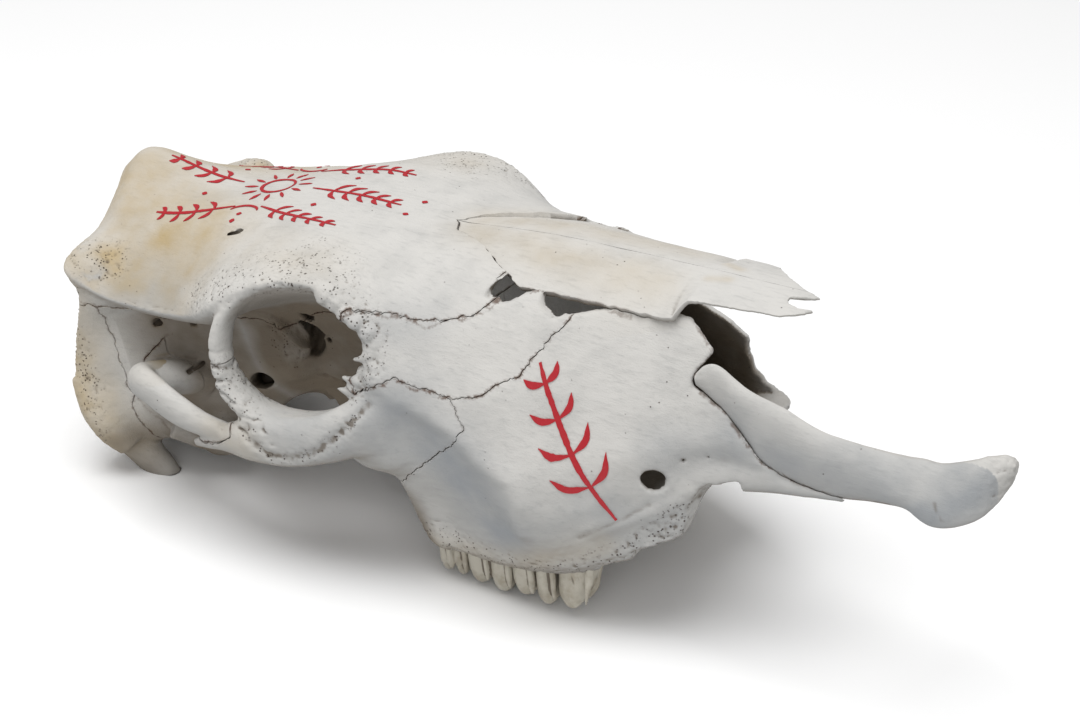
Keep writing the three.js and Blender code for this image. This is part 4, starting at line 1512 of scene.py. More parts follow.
@dataclass(frozen=True)
class BrushStroke:
    """One stroke of the brush on the bone: a smooth line with a width that tapers at its ends."""

    line: tuple[Pair, ...]
    width: float = 2.6
    leaf: bool = False
    points: int = 7

    def ribbon(self, view: View, count: int = 8) -> tuple[Array, Array]:
        """The stroke as a grid: points along its line and across its width, which follows a root of a
        sine for a stroke and a sine for a leaf, with a little noise as a dry brush leaves it.

        Args:
            view: SIDE for the line as [x, z] on the right cheek, TOP for [x, y] on the forehead.
            count: steps between two corners of the line.

        Returns:
            The grid's points, well off the bone, and its four-sided faces.
        """
        line = spline(np.array(self.line, float), count)
        line = spread(line, 0.7, closed=False)
        run = unit(np.gradient(line, axis=0))
        side = np.stack([-run[:, 1], run[:, 0]], -1)
        t = np.linspace(0, 1, len(line))
        shape = np.sin(math.pi * np.clip(t, 0.02, 0.98)) ** (0.9 if self.leaf else 0.28)
        across = np.linspace(-1, 1, self.points)
        edge = lattice(np.insert(line, 1, 3.0, axis=1), 1.8, 71)[:, None] * np.abs(across) ** 3
        half = self.width / 2 * shape[:, None] * across * (1 + 0.22 * edge)
        flat = line[:, None] + side[:, None] * half[..., None]
        far = np.full(half.shape, FAR_RIGHT if view is View.SIDE else FAR_ABOVE)
        order = (flat[..., 0], far, flat[..., 1]) if view is View.SIDE else (flat[..., 0], flat[..., 1], far)
        points = np.stack(order, -1).reshape(-1, 3)
        i, j = np.indices((len(line) - 1, self.points - 1))
        k = i * self.points + j
        faces = np.stack([k, k + 1, k + self.points + 1, k + self.points], -1).reshape(-1, 4)
        return points, faces


def sprig(root: Pair, tip: Pair, pairs: int, reach: float, bend: float = 0.0,
          width: float = 2.4) -> list[BrushStroke]:
    """A leafy sprig: a stem with pairs of small leaves that grow shorter towards its tip.

    Args:
        root: where the stem starts.
        tip: where it ends, in a leaf of its own.
        pairs: how many pairs of leaves there are.
        reach: the length of the longest leaf.
        bend: how far the stem bows to one side.
        width: the width of the stem's stroke.

    Returns:
        The strokes.
    """
    a, b = np.array(root, float), np.array(tip, float)
    run = (b - a) / np.linalg.norm(b - a)
    side = np.array((-run[1], run[0]))
    stem = [tuple(a + (b - a) * t + side * bend * math.sin(math.pi * t)) for t in np.linspace(0, 1, 6)]
    strokes = [BrushStroke(tuple(stem), width)]
    for n, t in enumerate(np.linspace(0.24, 0.88, pairs)):
        node = a + (b - a) * t + side * bend * math.sin(math.pi * t)
        size = reach * (1 - 0.45 * n / max(pairs - 1, 1))
        for turn in (-1, 1):
            out = node + run * size * 0.62 + side * turn * size * 0.74
            belly = node + run * size * 0.2 + side * turn * size * 0.5
            strokes.append(BrushStroke((tuple(node), tuple(belly), tuple(out)), width * 1.25, True))
    return strokes


@dataclass(frozen=True)
class PaintedFigures:
    """Red brush work: a leafy sprig on the right cheek, and sprigs, a rayed ring, arcs and dots on
    the forehead."""

    lift: float = 0.16
    body: float = 0.22

    def cheek(self) -> list[BrushStroke]:
        """The sprig on the cheek, rooted low in front and leaning back as it rises."""
        return sprig((312, 34), (287, 107), 4, 18, 2.5, 2.4)

    def forehead(self) -> list[BrushStroke]:
        """The ornament on the forehead, alike on both sides of the middle line.

        Returns:
            Its strokes.
        """
        strokes = []
        middle = np.array((112.0, 0.0))
        turn = np.linspace(0, 2 * math.pi, 25)
        ring = middle + 8.5 * np.stack([np.cos(turn), np.sin(turn)], -1)
        strokes.append(BrushStroke(tuple(map(tuple, ring)), 1.9))
        for angle in np.arange(12) * math.pi / 6 + math.pi / 12:
            way = np.array((math.cos(angle), math.sin(angle)))
            strokes.append(BrushStroke((tuple(middle + 11 * way), tuple(middle + 18.5 * way)), 2.0, True))
        strokes += sprig((134, 0), (186, 0), 5, 12, 0, 2.0)
        strokes += sprig((90, 0), (46, 0), 4, 11, 0, 2.0)
        for s in (-1, 1):
            strokes += sprig((120, s * 24), (172, s * 33), 5, 9.5, s * 3, 1.9)
            strokes += sprig((104, s * 25), (58, s * 33), 4, 9.5, s * -3, 1.9)
            bow = [(112 + 9 * math.cos(q), s * (30 - 6 * math.sin(q))) for q in np.linspace(0.3, 2.84, 7)]
            strokes.append(BrushStroke(tuple(bow), 1.8))
            for x, y in ((112, 32), (112, 38), (78, 17), (148, 18), (194, 8)):
                strokes.append(BrushStroke(((x - 1.6, s * y), (x + 1.6, s * y)), 3.0, True))
        return strokes

    def piece(self, name: str, strokes: list[BrushStroke], view: View,
              bone: Piece) -> Piece:
        """Lays strokes on a bone as one thin skin of paint.

        Args:
            name: the piece's name.
            strokes: the strokes.
            view: from where they are laid on.
            bone: the bone, in millimetres.

        Returns:
            The paint, in millimetres.
        """
        paint = put_mesh(name, *joined([stroke.ribbon(view) for stroke in strokes]))
        wrap = paint.modifiers.new("lay on", "SHRINKWRAP")
        wrap.target = bone
        wrap.wrap_method = "PROJECT"
        wrap.use_project_y, wrap.use_project_z = view is View.SIDE, view is View.TOP
        wrap.use_positive_direction = view is View.SIDE
        wrap.use_negative_direction = view is View.TOP
        wrap.wrap_mode = "ABOVE_SURFACE"
        wrap.offset = self.lift
        body = paint.modifiers.new("body", "SOLIDIFY")
        body.thickness = self.body
        body.offset = -1
        graph = bpy.context.evaluated_depsgraph_get()
        paint.data = bpy.data.meshes.new_from_object(paint.evaluated_get(graph))
        paint.modifiers.clear()
        return paint


# Weathering and painted shade, read by the materials


@dataclass(frozen=True)
class Weather:
    """Stains, and painted shade: cool grey, in hollows and in dents, as bell curves round lines on the bone.
    """

    stains: tuple[Mark, ...] = (
        (((28, 20), (60, 36), (95, 50)), 30, 0.9, View.TOP),
        (((44, 60), (66, 62)), 13, 0.9, View.TOP),
        (((20, 70), (40, 72)), 10, 0.6, View.TOP),
        (((140, 60), (180, 66)), 20, 0.2, View.TOP),
        (((232, 6), (280, 16), (330, 18)), 14, 0.35, View.TOP),
        (((353, 9), (360, 6)), 3.0, 0.4, View.TOP),
        (((14, 168), (10, 110), (16, 76)), 18, 0.85, View.SIDE),
        (((210, 18), (250, 12), (300, 22)), 8, 0.3, View.SIDE),
        (((120, 96), (136, 86)), 10, 0.35, View.SIDE),
    )
    # Painted shade: where the bone is painted cool grey, on faces turned away from the light.
    painted_cool_shades: tuple[Mark, ...] = (
        (((60, 66), (88, 70)), 13, 0.8, View.TOP),
        (((218, 92), (236, 72), (248, 50), (256, 30)), 20, 0.85, View.SIDE),
        (((212, 134), (236, 128)), 10, 0.35, View.SIDE),
        (((340, 60), (366, 60)), 14, 0.5, View.SIDE),
        (((300, 40), (340, 30)), 12, 0.4, View.SIDE),
        (((372, 62), (400, 50), (440, 40), (478, 38)), 18, 0.6, View.SIDE),
        (((262, 20), (300, 24), (330, 34)), 20, 0.35, View.SIDE),
        (((448, 30), (470, 34), (480, 44)), 11, 0.95, View.SIDE),
        (((160, 96), (190, 82)), 14, 0.4, View.SIDE),
    )
    # Lines along which shade is painted into the dent value, in the furrows.
    grooves: tuple[Mark, ...] = (
        (((137, 92), (150, 79), (162, 76), (179, 80), (196, 90), (208, 100)), 2.6, 1.0, View.SIDE),
        (((126, 128), (129, 112), (137, 96)), 3.0, 0.5, View.SIDE),
        (((294, 27), (304, 30.5), (314, 33.5), (327, 39)), 1.6, 0.5, View.SIDE),
        (((245, 15), (262, 9), (290, 11), (323, 22), (341, 31)), 4.0, 0.35, View.SIDE),
        (((454.5, 36), (456.5, 28)), 1.2, 0.9, View.SIDE),
        (((455, 26), (466, 27)), 3.0, 0.6, View.SIDE),
    )

    def spots(self, spots: tuple[Mark, ...], p: Array, n: Array) -> Array:
        """The strongest of some spots at each point, broken up by noise.

        Args:
            spots: lines with their radius, strength and view.
            p: points in the skull's frame.
            n: directions there.

        Returns:
            One value from 0 to 1 for each point.
        """
        w = np.abs(p[:, 1])
        total = np.zeros(len(p))
        for line, radius, share, view in spots:
            if view is View.SIDE:
                seen = ease(np.sign(p[:, 1]) * n[:, 1], -0.2, 0.3) * (w > 25)
            else:
                seen = ease(n[:, 2], 0.0, 0.4) * (p[:, 2] > 112)
            total = np.maximum(total, share * seen * bell(seen_from(p, view), line, radius))
        return np.clip(total * (1 + 0.5 * layers(p, 14, 81)), 0, 1)

    def hollow(self, p: Array, n: Array) -> Array:
        """Painted shade inside the nose, the orbits and the temples and under the skull: where the surface
        looks back towards the middle of the face, lies well inside the rims or faces down.

        Args:
            p: points in the skull's frame.
            n: directions there.

        Returns:
            One value from 0 to 1 for each point.
        """
        w = np.abs(p[:, 1])
        inward = -(p[:, 1] * n[:, 1] + (p[:, 2] - 72) * n[:, 2]) / 30
        nose = ease(inward, 0.15, 0.7) * (p[:, 0] > 240) * (0.25 + 0.75 * ease(p[:, 0], 334, 316))
        rear = 0.6 * ease(88 - p[:, 2], 0, 18) * ease(112 - p[:, 0], 0, 10)
        under_roof = ease(152 - p[:, 2] - 0.1 * w, 0, 12)
        orbit = ease(p[:, 0], 96, 120) * ease(214 - p[:, 0], 0, 10) * ease(76 - w, 0, 10) * under_roof
        temple = 0.85 * ease(116 - p[:, 0], 0, 14) * ease(70 - w, 0, 14) * under_roof * (p[:, 0] > 40)
        below = 0.55 * ease(-n[:, 2], 0.2, 0.9) * ease(p[:, 0], 0, 30)
        total = np.maximum.reduce([nose, orbit, temple, below, rear])
        return np.clip(total * (1 + 0.25 * layers(p, 12, 85)), 0, 1)

    def painted_dent_shade(self, mesh: Mesh, p: Array) -> None:
        """Writes how far each point lies in a dent, for shade painted into creases and along grooves: the
        mean, over its edges, of the neighbour's height over its own plane by the square of the edge's
        length, smoothed over two rounds.

        Args:
            mesh: the mesh, in millimetres.
            p: its points.
        """
        n = directions(mesh)
        ends = np.zeros(len(mesh.edges) * 2, np.int32)
        mesh.edges.foreach_get("vertices", ends)
        a, b = ends.reshape(-1, 2).T
        run = p[b] - p[a]
        square = np.maximum(np.einsum("ij,ij->i", run, run), 0.3)
        count = np.maximum(np.bincount(ends, minlength=len(p)), 1)
        bend = (np.bincount(a, np.einsum("ij,ij->i", run, n[a]) / square, len(p))
                - np.bincount(b, np.einsum("ij,ij->i", run, n[b]) / square, len(p))) / count
        for _ in range(2):
            near = (np.bincount(a, bend[b], len(p)) + np.bincount(b, bend[a], len(p))) / count
            bend = 0.4 * bend + 0.6 * near
        grooves = 0.32 * self.spots(self.grooves, p, n) * ease(layers(p, 3.2, 83, 2), -0.35, 0.35)
        write_value(mesh, "dent", np.clip(0.5 + 2.2 * bend + grooves, 0, 1))

    def wear(self, mesh: Mesh, p: Array, rough: Array, seam: Array) -> None:
        """Writes the values on a bone's points.

        Args:
            mesh: the bone, in millimetres and in the skull's frame.
            p: its points.
            rough: how rough each point is.
            seam: how strong a line each point lies on.
        """
        n = directions(mesh)
        self.painted_dent_shade(mesh, p)
        write_value(mesh, "seam", seam)
        # Painted shade: the low value grows where the surface faces down in the room, and the bone is painted
        # grey there.
        up = (n[:, 2] + math.tan(REST_PITCH) * n[:, 0]) * math.cos(REST_PITCH)
        write_value(mesh, "low", 1 - ease(up, -0.6, 0.55))
        write_value(mesh, "stain", self.spots(self.stains, p, n))
        # Painted shade: cool grey on faces turned away from the light.
        write_value(mesh, "painted_cool_shade", self.spots(self.painted_cool_shades, p, n))
        # Painted shade in the nose, the orbits, the temples and under the skull.
        write_value(mesh, "hollow", self.hollow(p, n))
        write_value(mesh, "rough", rough)


@dataclass
class LineMap:
    """The cells of a plane that some lines cross, to tell which points lie on a line."""

    cell: float = 0.2
    low: Pair = (-60.0, -140.0)
    size: tuple[int, int] = (2850, 1950)

    def __post_init__(self) -> None:
        """Starts with no line."""
        self.marked = np.zeros(self.size, bool)

    def draw(self, line: Array, closed: bool = True) -> "LineMap":
        """Marks the cells under a line and those beside them.

        Args:
            line: the corners.
            closed: whether the line returns to its start.

        Returns:
            The map itself.
        """
        points = spread(line, self.cell / 2, closed)
        i, j = np.floor((points - self.low) / self.cell).astype(int).T
        keep = (i > 0) & (i < self.size[0] - 1) & (j > 0) & (j < self.size[1] - 1)
        for di, dj in np.ndindex(3, 3):
            self.marked[i[keep] + di - 1, j[keep] + dj - 1] = True
        return self

    def at(self, flat: Array) -> Array:
        """Whether each point lies on a line."""
        i, j = np.floor((flat - self.low) / self.cell).astype(int).T
        return self.marked[np.clip(i, 0, self.size[0] - 1), np.clip(j, 0, self.size[1] - 1)]


class Seams:
    """Where the bones meet and where they are broken, as lines seen from the side or from above."""

    BREAK_FRONT = 436
    BREAK_TOP = 112
    PLATE_FRONT = 326
    PLATE_BOTTOM = 96
    MIDDLE = 1.5

    def __init__(self) -> None:
        """Draws the lines once. Each side-view map counts from a distance to the middle plane outwards
        and has its own strength."""
        parting, plates = Parting(), NasalPlates()
        self.side = []
        for outline, near, share in ((parting.frontal, 0.0, 0.6), (parting.occipital, 0.0, 0.4),
                                     (parting.lacrimal, 34.0, 0.9), (parting.cheek, 61.0, 0.25),
                                     (parting.temporal, 55.0, 0.8)):
            self.side.append((LineMap().draw(outline.edge()).draw(outline.edge(SEAM)), near, share))
        front = Openings().fronts[RIGHT].edge()
        front = front[(front[:, 0] < self.BREAK_FRONT) & (front[:, 1] < self.BREAK_TOP)]
        self.side.append((LineMap().draw(front, False), 0.0, 0.7))
        self.top = LineMap()
        for sign in SIDES:
            line = plates.outline(sign)
            self.top.draw(line, False).draw(line + (0, sign * SEAM), False).draw(line - (SEAM, 0), False)

    def at(self, p: Array, nasal: bool) -> Array:
        """How strong a line each point lies on, from 0 to 1.

        Args:
            p: the points.
            nasal: whether they are those of a nasal plate, which no side-view line crosses.

        Returns:
            One value for each point.
        """
        w = np.abs(p[:, 1])
        on_plate = (p[:, 2] > self.PLATE_BOTTOM) & (w > self.MIDDLE) & (p[:, 0] < self.PLATE_FRONT)
        total = 0.5 * (self.top.at(p[:, :2]) & on_plate & (p[:, 1] < 0))
        for chart, near, share in [] if nasal else self.side:
            total = np.maximum(total, share * (chart.at(p[:, [0, 2]]) & (w > near)))
        return total


# Shader trees


def tint(red: int, green: int, blue: int) -> Colour:
    """A display colour as the linear colour that a shader takes.

    Args:
        red: from 0 to 255.
        green: the same.
        blue: the same.

    Returns:
        The colour, opaque.
    """
    parts = [v / 255 for v in (red, green, blue)]
    linear = [v / 12.92 if v <= 0.04045 else ((v + 0.055) / 1.055) ** 2.4 for v in parts]
    return (*linear, 1.0)


class Value:
    """A socket that carries a number. Python's operators on it add Math nodes."""

    def __init__(self, sheet: "ShaderSheet", socket: Socket) -> None:
        """Keeps the socket and the tree that it is in."""
        self.sheet = sheet
        self.socket = socket

    def _math(self, operation: str, *terms: "Value | float") -> "Value":
        """A Math node on the terms."""
        return self.sheet.value("ShaderNodeMath", {"operation": operation}, dict(enumerate(terms)))

    def __add__(self, other: "Value | float") -> "Value":
        """Sum."""
        return self._math("ADD", self, other)

    __radd__ = __add__

    def __sub__(self, other: "Value | float") -> "Value":
        """Difference."""
        return self._math("SUBTRACT", self, other)

    def __rsub__(self, other: float) -> "Value":
        """Difference from a number."""
        return self._math("SUBTRACT", other, self)

    def __mul__(self, other: "Value | float") -> "Value":
        """Product."""
        return self._math("MULTIPLY", self, other)

    __rmul__ = __mul__

    def capped(self) -> "Value":
        """The value kept from 0 to 1."""
        return self.sheet.value("ShaderNodeClamp", {}, {"Value": self})

    def rise(self, low: float, high: float) -> "Value":
        """Smooth rise from 0 at low to 1 at high."""
        return self.sheet.value("ShaderNodeMapRange", {"interpolation_type": "SMOOTHSTEP"},
                                {"Value": self, "From Min": low, "From Max": high})

    def greatest(self, other: "Value | float") -> "Value":
        """The larger of two."""
        return self._math("MAXIMUM", self, other)


class ShaderSheet:
    """A material's node tree, built node by node."""

    def __init__(self, name: str) -> None:
        """Makes the material with one shader and its output.

        Args:
            name: the material's name.
        """
        self.material = bpy.data.materials.new(name)
        self.material.use_nodes = True
        self.tree = self.material.node_tree
        self.tree.nodes.clear()
        self.shader = self.tree.nodes.new("ShaderNodeBsdfPrincipled")
        output = self.tree.nodes.new("ShaderNodeOutputMaterial")
        self.tree.links.new(self.shader.outputs[0], output.inputs[0])
        self.place = self.tree.nodes.new("ShaderNodeTexCoord").outputs["Object"]

    def node(self, kind: str, settings: dict, inputs: dict) -> bpy.types.Node:
        """Adds a node.

        Args:
            kind: the node's type.
            settings: its own properties, set first.
            inputs: values or links by socket name or number.

        Returns:
            The node.
        """
        made = self.tree.nodes.new(kind)
        for key, value in settings.items():
            setattr(made, key, value)
        for key, value in inputs.items():
            socket = made.inputs[key]
            source = value.socket if isinstance(value, Value) else value
            if isinstance(source, Socket):
                self.tree.links.new(source, socket)
            else:
                socket.default_value = source
        return made

    def value(self, kind: str, settings: dict, inputs: dict, output: str | int = 0) -> Value:
        """Adds a node and wraps one of its outputs."""
        return Value(self, self.node(kind, settings, inputs).outputs[output])

    def attribute(self, name: str) -> Value:
        """A number that the mesh carries on its points."""
        return self.value("ShaderNodeAttribute", {"attribute_name": name}, {}, "Fac")

    def stretched(self, scale: Sequence[float]) -> Socket:
        """Object coordinates, scaled along each axis."""
        return self.node("ShaderNodeMapping", {}, {"Vector": self.place, "Scale": scale}).outputs[0]

    def noise(self, scale: float, detail: float = 3.0, rough: float = 0.55,
              vector: Socket | None = None) -> Value:
        """Noise from 0 to 1 on Object coordinates."""
        return self.value("ShaderNodeTexNoise", {}, {
            "Vector": vector or self.place, "Scale": scale, "Detail": detail, "Roughness": rough})

    def cells(self, scale: float) -> Value:
        """Distance to the nearest of scattered points, in cells."""
        return self.value("ShaderNodeTexVoronoi", {}, {"Vector": self.place, "Scale": scale}, "Distance")

    def mix(self, share: Value, first: object, second: object) -> Socket:
        """One colour over another by a share from 0 to 1."""
        colours = {0: share, 6: first, 7: second}
        return self.node("ShaderNodeMix", {"data_type": "RGBA"}, colours).outputs[2]

    def bump(self, height: Value, distance: float, strength: float = 1.0) -> None:
        """Feeds a height in units of distance, in metres, to the shader's Normal."""
        inputs = {"Height": height, "Distance": distance, "Strength": strength}
        self.feed("Normal", self.node("ShaderNodeBump", {}, inputs).outputs[0])

    def feed(self, name: str, source: object) -> None:
        """Sets or links one of the shader's sockets.

        Args:
            name: the socket's name.
            source: a number, a colour or another socket.
        """
        source = source.socket if isinstance(source, Value) else source
        if isinstance(source, Socket):
            self.tree.links.new(source, self.shader.inputs[name])
        else:
            self.shader.inputs[name].default_value = source


@dataclass(frozen=True)
class BoneFinish:
    """Bleached, weathered bone: matt, finely grained, pitted where it is rough, and stained. Shade is
    painted in: grey where it faces down, cool grey where it turns from the light, and darker in its
    hollows and dents.
    """

    name: str = "weathered bone"
    pale: Colour = tint(200, 198, 194)
    mottle: Colour = tint(180, 179, 176)
    stain: Colour = tint(176, 155, 114)
    # Painted shade, in the next four colours: cool grey where the bone turns from the light, grey where it
    # faces down, grey brown in the hollows and a darker tone in dents.
    painted_cool_shade: Colour = tint(140, 144, 148)
    shade: Colour = tint(136, 136, 134)
    hollow: Colour = tint(106, 94, 78)
    painted_dent_shade: Colour = tint(98, 87, 74)
    seam: Colour = tint(84, 58, 40)
    pit: Colour = tint(66, 50, 38)
    roughness: float = 0.8
    specular: float = 0.25
    relief: float = 0.0007

    def material(self) -> bpy.types.Material:
        """Builds the material.

        Returns:
            The material.
        """
        sheet = ShaderSheet(self.name)
        stain, painted_cool_shade = sheet.attribute("stain"), sheet.attribute("painted_cool_shade")
        hollow, rough = sheet.attribute("hollow"), sheet.attribute("rough")
        seam, dent = sheet.attribute("seam"), sheet.attribute("dent")
        clouds = sheet.noise(38, 5, 0.6)
        along = sheet.stretched((0.22, 1.0, 1.0))
        grain = sheet.noise(520, 4, 0.65, along)
        scratch = sheet.noise(1300, 2, 0.6, along)
        fleck = sheet.noise(1500, 2, 0.5)
        colour = sheet.mix((clouds.rise(0.42, 0.72) * 0.6 + grain.rise(0.5, 0.7) * 0.5).capped(),
                           self.pale, self.mottle)
        # Painted shade: grey where the surface faces down.
        colour = sheet.mix((sheet.attribute("low") * 0.75).capped(), colour, self.shade)
        # Painted shade: cool grey where the bone turns away from the light.
        colour = sheet.mix((painted_cool_shade * (0.6 + 0.5 * clouds)).capped(), colour, self.painted_cool_shade)
        colour = sheet.mix((stain * (0.3 + 0.8 * sheet.noise(75, 4))).capped(), colour, self.stain)
        # Painted shade: grey brown in the hollows and under the skull.
        colour = sheet.mix((hollow * 0.92).capped(), colour, self.hollow)
        # Painted shade: darker in dents and along grooves.
        colour = sheet.mix((dent.rise(0.54, 0.86) * 0.75).capped(), colour, self.painted_dent_shade)
        pits = 1 - sheet.cells(620).rise(0.16, 0.34)
        holes = (1 - sheet.cells(330).rise(0.10, 0.20)) * sheet.noise(300, 2).rise(0.5, 0.6)
        spread_pits = (1 - sheet.cells(210).rise(0.05, 0.085)) * sheet.noise(60, 2).rise(0.5, 0.64)
        where = rough.rise(0.12, 0.75)
        fine = pits * sheet.noise(260, 2).rise(0.47, 0.6) * where
        dark = fine.greatest(holes * where).greatest(spread_pits * 0.8)
        colour = sheet.mix((dark * 0.85).capped(), colour, self.pit)
        colour = sheet.mix((seam * sheet.noise(220, 3).rise(0.38, 0.6) * 0.9).capped(), colour, self.seam)
        sheet.feed("Base Color", colour)
        sheet.feed("Roughness", self.roughness)
        sheet.feed("Specular IOR Level", self.specular)
        height = grain * 0.45 + scratch * 0.16 + fleck * 0.2 + clouds * 0.5 - dark * 1.2
        sheet.bump(height, self.relief, 0.9)
        return sheet.material


@dataclass(frozen=True)
class ToothFinish:
    """Worn enamel: beige grey with upright streaks and a faint gloss, with shade painted darker in its
    grooves and dents.
    """

    name: str = "worn enamel"
    pale: Colour = tint(182, 177, 164)
    streak: Colour = tint(150, 141, 124)
    # Painted shade in the grooves and dents of the teeth.
    dark: Colour = tint(78, 65, 50)
    roughness: float = 0.45
    relief: float = 0.0003

    def material(self) -> bpy.types.Material:
        """Builds the material.

        Returns:
            The material.
        """
        sheet = ShaderSheet(self.name)
        upright = sheet.stretched((1.0, 1.0, 0.2))
        streaks = sheet.noise(420, 4, 0.6, upright)
        colour = sheet.mix(sheet.noise(110, 4, 0.6).rise(0.4, 0.7) * 0.8, self.pale, self.streak)
        # Painted shade: darker in the grooves between the columns.
        colour = sheet.mix((sheet.attribute("dent").rise(0.53, 0.75) * 0.85).capped(), colour, self.dark)
        sheet.feed("Base Color", colour)
        sheet.feed("Roughness", self.roughness)
        sheet.bump(streaks, self.relief, 0.5)
        return sheet.material


@dataclass(frozen=True)
class PaintFinish:
    """Crimson brush paint, a little thinner and duller where the brush ran dry."""

    name: str = "crimson paint"
    deep: Colour = tint(168, 8, 26)
    worn: Colour = tint(178, 34, 48)
    roughness: float = 0.5
    relief: float = 0.0002

    def material(self) -> bpy.types.Material:
        """Builds the material.

        Returns:
            The material.
        """
        sheet = ShaderSheet(self.name)
        dry = sheet.noise(520, 4, 0.65)
        sheet.feed("Base Color", sheet.mix(dry.rise(0.52, 0.75) * 0.8, self.deep, self.worn))
        sheet.feed("Roughness", self.roughness)
        sheet.bump(dry, self.relief, 0.6)
        return sheet.material


# Studio


@dataclass(frozen=True)
class Lamp:
    """A soft square light: where it stands and its side, in metres, and its power in watts."""

    name: str
    place: tuple[float, float, float]
    side: float
    power: float

    def put(self, aim: Vector) -> None:
        """Puts the light in the scene, facing a point.

        Args:
            aim: the point, in metres.
        """
        data = bpy.data.lights.new(self.name, "AREA")
        data.size = self.side
        data.energy = self.power
        lamp = bpy.data.objects.new(self.name, data)
        lamp.location = self.place
        lamp.rotation_euler = (aim - Vector(self.place)).to_track_quat("-Z", "Y").to_euler()
        bpy.context.scene.collection.objects.link(lamp)


@dataclass(frozen=True)
class Studio:
    """The pale floor, soft lights and the camera, which is measured in the skull's own frame."""

    eye: Row = (845.711, -755.902, 428.678)
    right: Row = (0.809746, 0.533615, -0.244062)
    up: Row = (0.0, 0.415934, 0.909395)
    lens: float = 72.04
    sensor: float = 36.0
    floor_half: float = 4.0
    lamps: tuple[Lamp, ...] = (
        Lamp("overhead", (-0.1, -0.3, 2.2), 1.5, 41),
        Lamp("front", (0.9, -2.0, 1.4), 1.2, 7),
    )
    aim: tuple[float, float, float] = (0, 0, 0.08)
    sky: float = 0.42

    def camera(self, placement: Placement) -> None:
        """Sets the camera from its place and its right and upward directions.

        Args:
            placement: where the skull stands in the room.
        """
        right, up = placement.turned(np.array([self.right, self.up]))
        data = bpy.data.cameras.new("camera")
        data.lens = self.lens
        data.sensor_width = self.sensor
        data.clip_end = 20
        camera = bpy.data.objects.new("camera", data)
        turn = np.eye(4)
        turn[:3, 0], turn[:3, 1], turn[:3, 2] = right, up, np.cross(right, up)
        turn[:3, 3] = placement.room(np.array([self.eye]))[0]
        camera.matrix_world = Matrix(turn.tolist())
        bpy.context.scene.collection.objects.link(camera)
        bpy.context.scene.camera = camera

    def floor(self) -> None:
        """Lays the floor under the skull."""
        h = self.floor_half
        corners = np.array([(-h, -h, 0), (h, -h, 0), (h, h, 0), (-h, h, 0)], float)
        ground = put_mesh("floor", corners, [[0, 1, 2, 3]])
        sheet = ShaderSheet("pale floor")
        sheet.feed("Base Color", tint(250, 250, 250))
        sheet.feed("Roughness", 0.9)
        sheet.feed("Specular IOR Level", 0.1)
        ground.data.materials.append(sheet.material)

    def set_up(self, placement: Placement) -> None:
        """Sets floor, lights, sky and camera.

        Args:
            placement: where the skull stands in the room.
        """
        self.camera(placement)
        self.floor()
        for lamp in self.lamps:
            lamp.put(Vector(self.aim))
        world = bpy.data.worlds.new("sky")
        world.use_nodes = True
        background = world.node_tree.nodes["Background"]
        background.inputs[0].default_value = (1.0, 1.0, 1.0, 1.0)
        background.inputs[1].default_value = self.sky
        scene = bpy.context.scene
        scene.world = world
        scene.view_settings.view_transform = "Standard"


# The whole skull


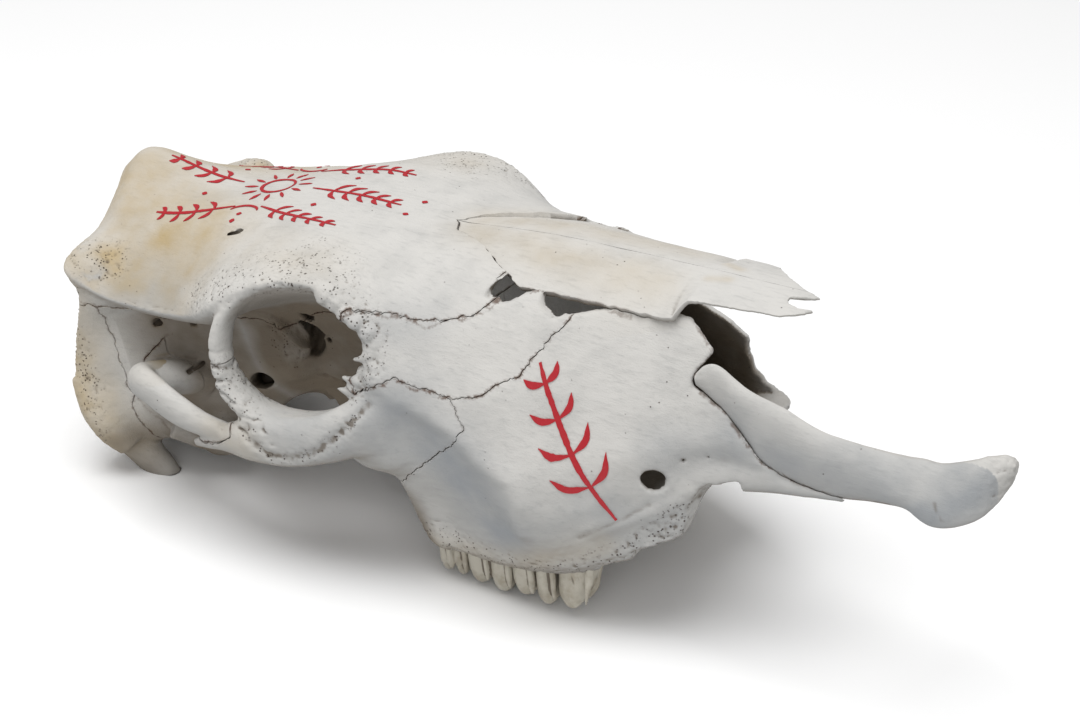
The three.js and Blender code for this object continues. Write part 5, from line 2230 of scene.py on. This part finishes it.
@dataclass
class Skull:
    """Builds the bones from one fused body, parts them, and lays teeth and paint on them."""

    placement: Placement
    cube: float = FULL_CUBE

    def fused(self) -> Shell:
        """The bones fused in clay with their openings cut.

        Returns:
            The fine surface of the fused body.
        """
        cranium, orbit, cheek = Cranium(), Orbit(), Cheek()
        processes, muzzle = Processes(), MuzzleBase()
        clay = Clay.block(*CLAY_BOX, self.cube)
        clay.add(cranium.shell())
        for sign in SIDES:
            forms = [(orbit.rim(sign), 3.0), (cheek.bone(sign), 4.0), (cheek.corner(sign), 7.0),
                     (cheek.arch(sign), 4.0), (muzzle.shell(sign), 3.0)]
            forms += [(shell, 4.0) for shell in processes.shells(sign) + orbit.wall(sign)]
            for shell, blend in forms:
                clay.add(shell, blend)
            clay.cut(orbit.slot(sign), 1.0)
        for shell in orbit.fray(RIGHT):
            clay.add(shell, 1.8)
        Openings().cut(clay, cranium)
        return largest(clay.surface())

    def bones(self) -> dict[str, Piece]:
        """All bones by name, in millimetres.

        Returns:
            The objects, still in the skull's own frame.
        """
        surface = Surface(self.fused())
        log.info("fused body: %d points", len(surface.shell.points))
        Sculpture().carve(surface)
        whole = tool_of(surface.shell, "whole")
        bones = Parting().bones(whole, Cranium())
        drop(whole)
        plates = NasalPlates()
        for sign in SIDES:
            name = f"nasal_{SIDE_NAMES[sign]}"
            bones[name] = self.roughened(tool_of(plates.sheet(sign), name), 0.3)
        blade = tool_of(Premaxilla().shell(RIGHT), "premaxilla_right")
        bones["premaxilla_right"] = self.roughened(blade, 0.4)
        return bones

    def roughened(self, bone: Piece, depth: float) -> Piece:
        """A smooth bone with shallow noise along its normals.

        Args:
            bone: the bone, in millimetres.
            depth: how deep the noise is.

        Returns:
            The same bone.
        """
        p, n = coordinates(bone.data), directions(bone.data)
        move = depth * (layers(p, 14, 91, 2) + 0.4 * layers(p * (0.35, 1, 1), 2.6, 92, 2))
        bone.data.vertices.foreach_set("co", (p + n * move[:, None]).ravel())
        bone.data.update()
        return bone

    def settle(self, piece: Piece, slot: str, material: bpy.types.Material,
               replaced: bool) -> None:
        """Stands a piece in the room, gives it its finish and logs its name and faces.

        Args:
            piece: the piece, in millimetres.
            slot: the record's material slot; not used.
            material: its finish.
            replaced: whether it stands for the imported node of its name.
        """
        mesh = piece.data
        points = self.placement.room(coordinates(mesh))
        points[:, 2] = np.maximum(points[:, 2], 0.0)
        mesh.vertices.foreach_set("co", points.ravel())
        mesh.update()
        mesh.materials.clear()
        mesh.materials.append(material)
        mesh.shade_smooth()
        mesh.set_sharp_from_angle(angle=SHARP_ANGLE)
        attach(piece, "root")
        if replaced:
            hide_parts(piece.name.removeprefix("bone_"))
        log.info("%s: %d faces", piece.name, len(mesh.polygons))

    def build(self) -> None:
        """Builds and dresses every piece."""
        bones = self.bones()
        sculpture, weather, figures, seams = Sculpture(), Weather(), PaintedFigures(), Seams()
        paint = [
            figures.piece("painted_sprig", figures.cheek(), View.SIDE, bones["maxilla_right"]),
            figures.piece("painted_forehead", figures.forehead(), View.TOP, bones["frontal"]),
        ]
        bone, enamel, red = BoneFinish().material(), ToothFinish().material(), PaintFinish().material()
        slots = {"frontal": "bone_pale", "nasal": "bone_pale", "occipital": "bone_stained"}
        for name, piece in bones.items():
            p = coordinates(piece.data)
            weather.wear(piece.data, p, sculpture.rough_at(p), seams.at(p, name.startswith("nasal")))
            piece.name = f"bone_{name}"
            self.settle(piece, slots.get(name.split("_")[0], "bone_grey"), bone, True)
        for row in ToothRow().pieces(self.cube * TOOTH_CUBE_SHARE):
            # The teeth carry the dent value too, for the shade painted in their grooves.
            weather.painted_dent_shade(row.data, coordinates(row.data))
            self.settle(row, "tooth_enamel", enamel, False)
        for piece in paint:
            self.settle(piece, "red_paint", red, False)


def main() -> None:
    """Builds the skull's pieces in order, dresses them and sets the studio."""
    logging.basicConfig(level=logging.INFO, format="%(message)s")
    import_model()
    placement = Placement.from_frame()
    Studio().set_up(placement)
    Skull(placement, FULL_CUBE).build()


if __name__ == "__main__":
    main()
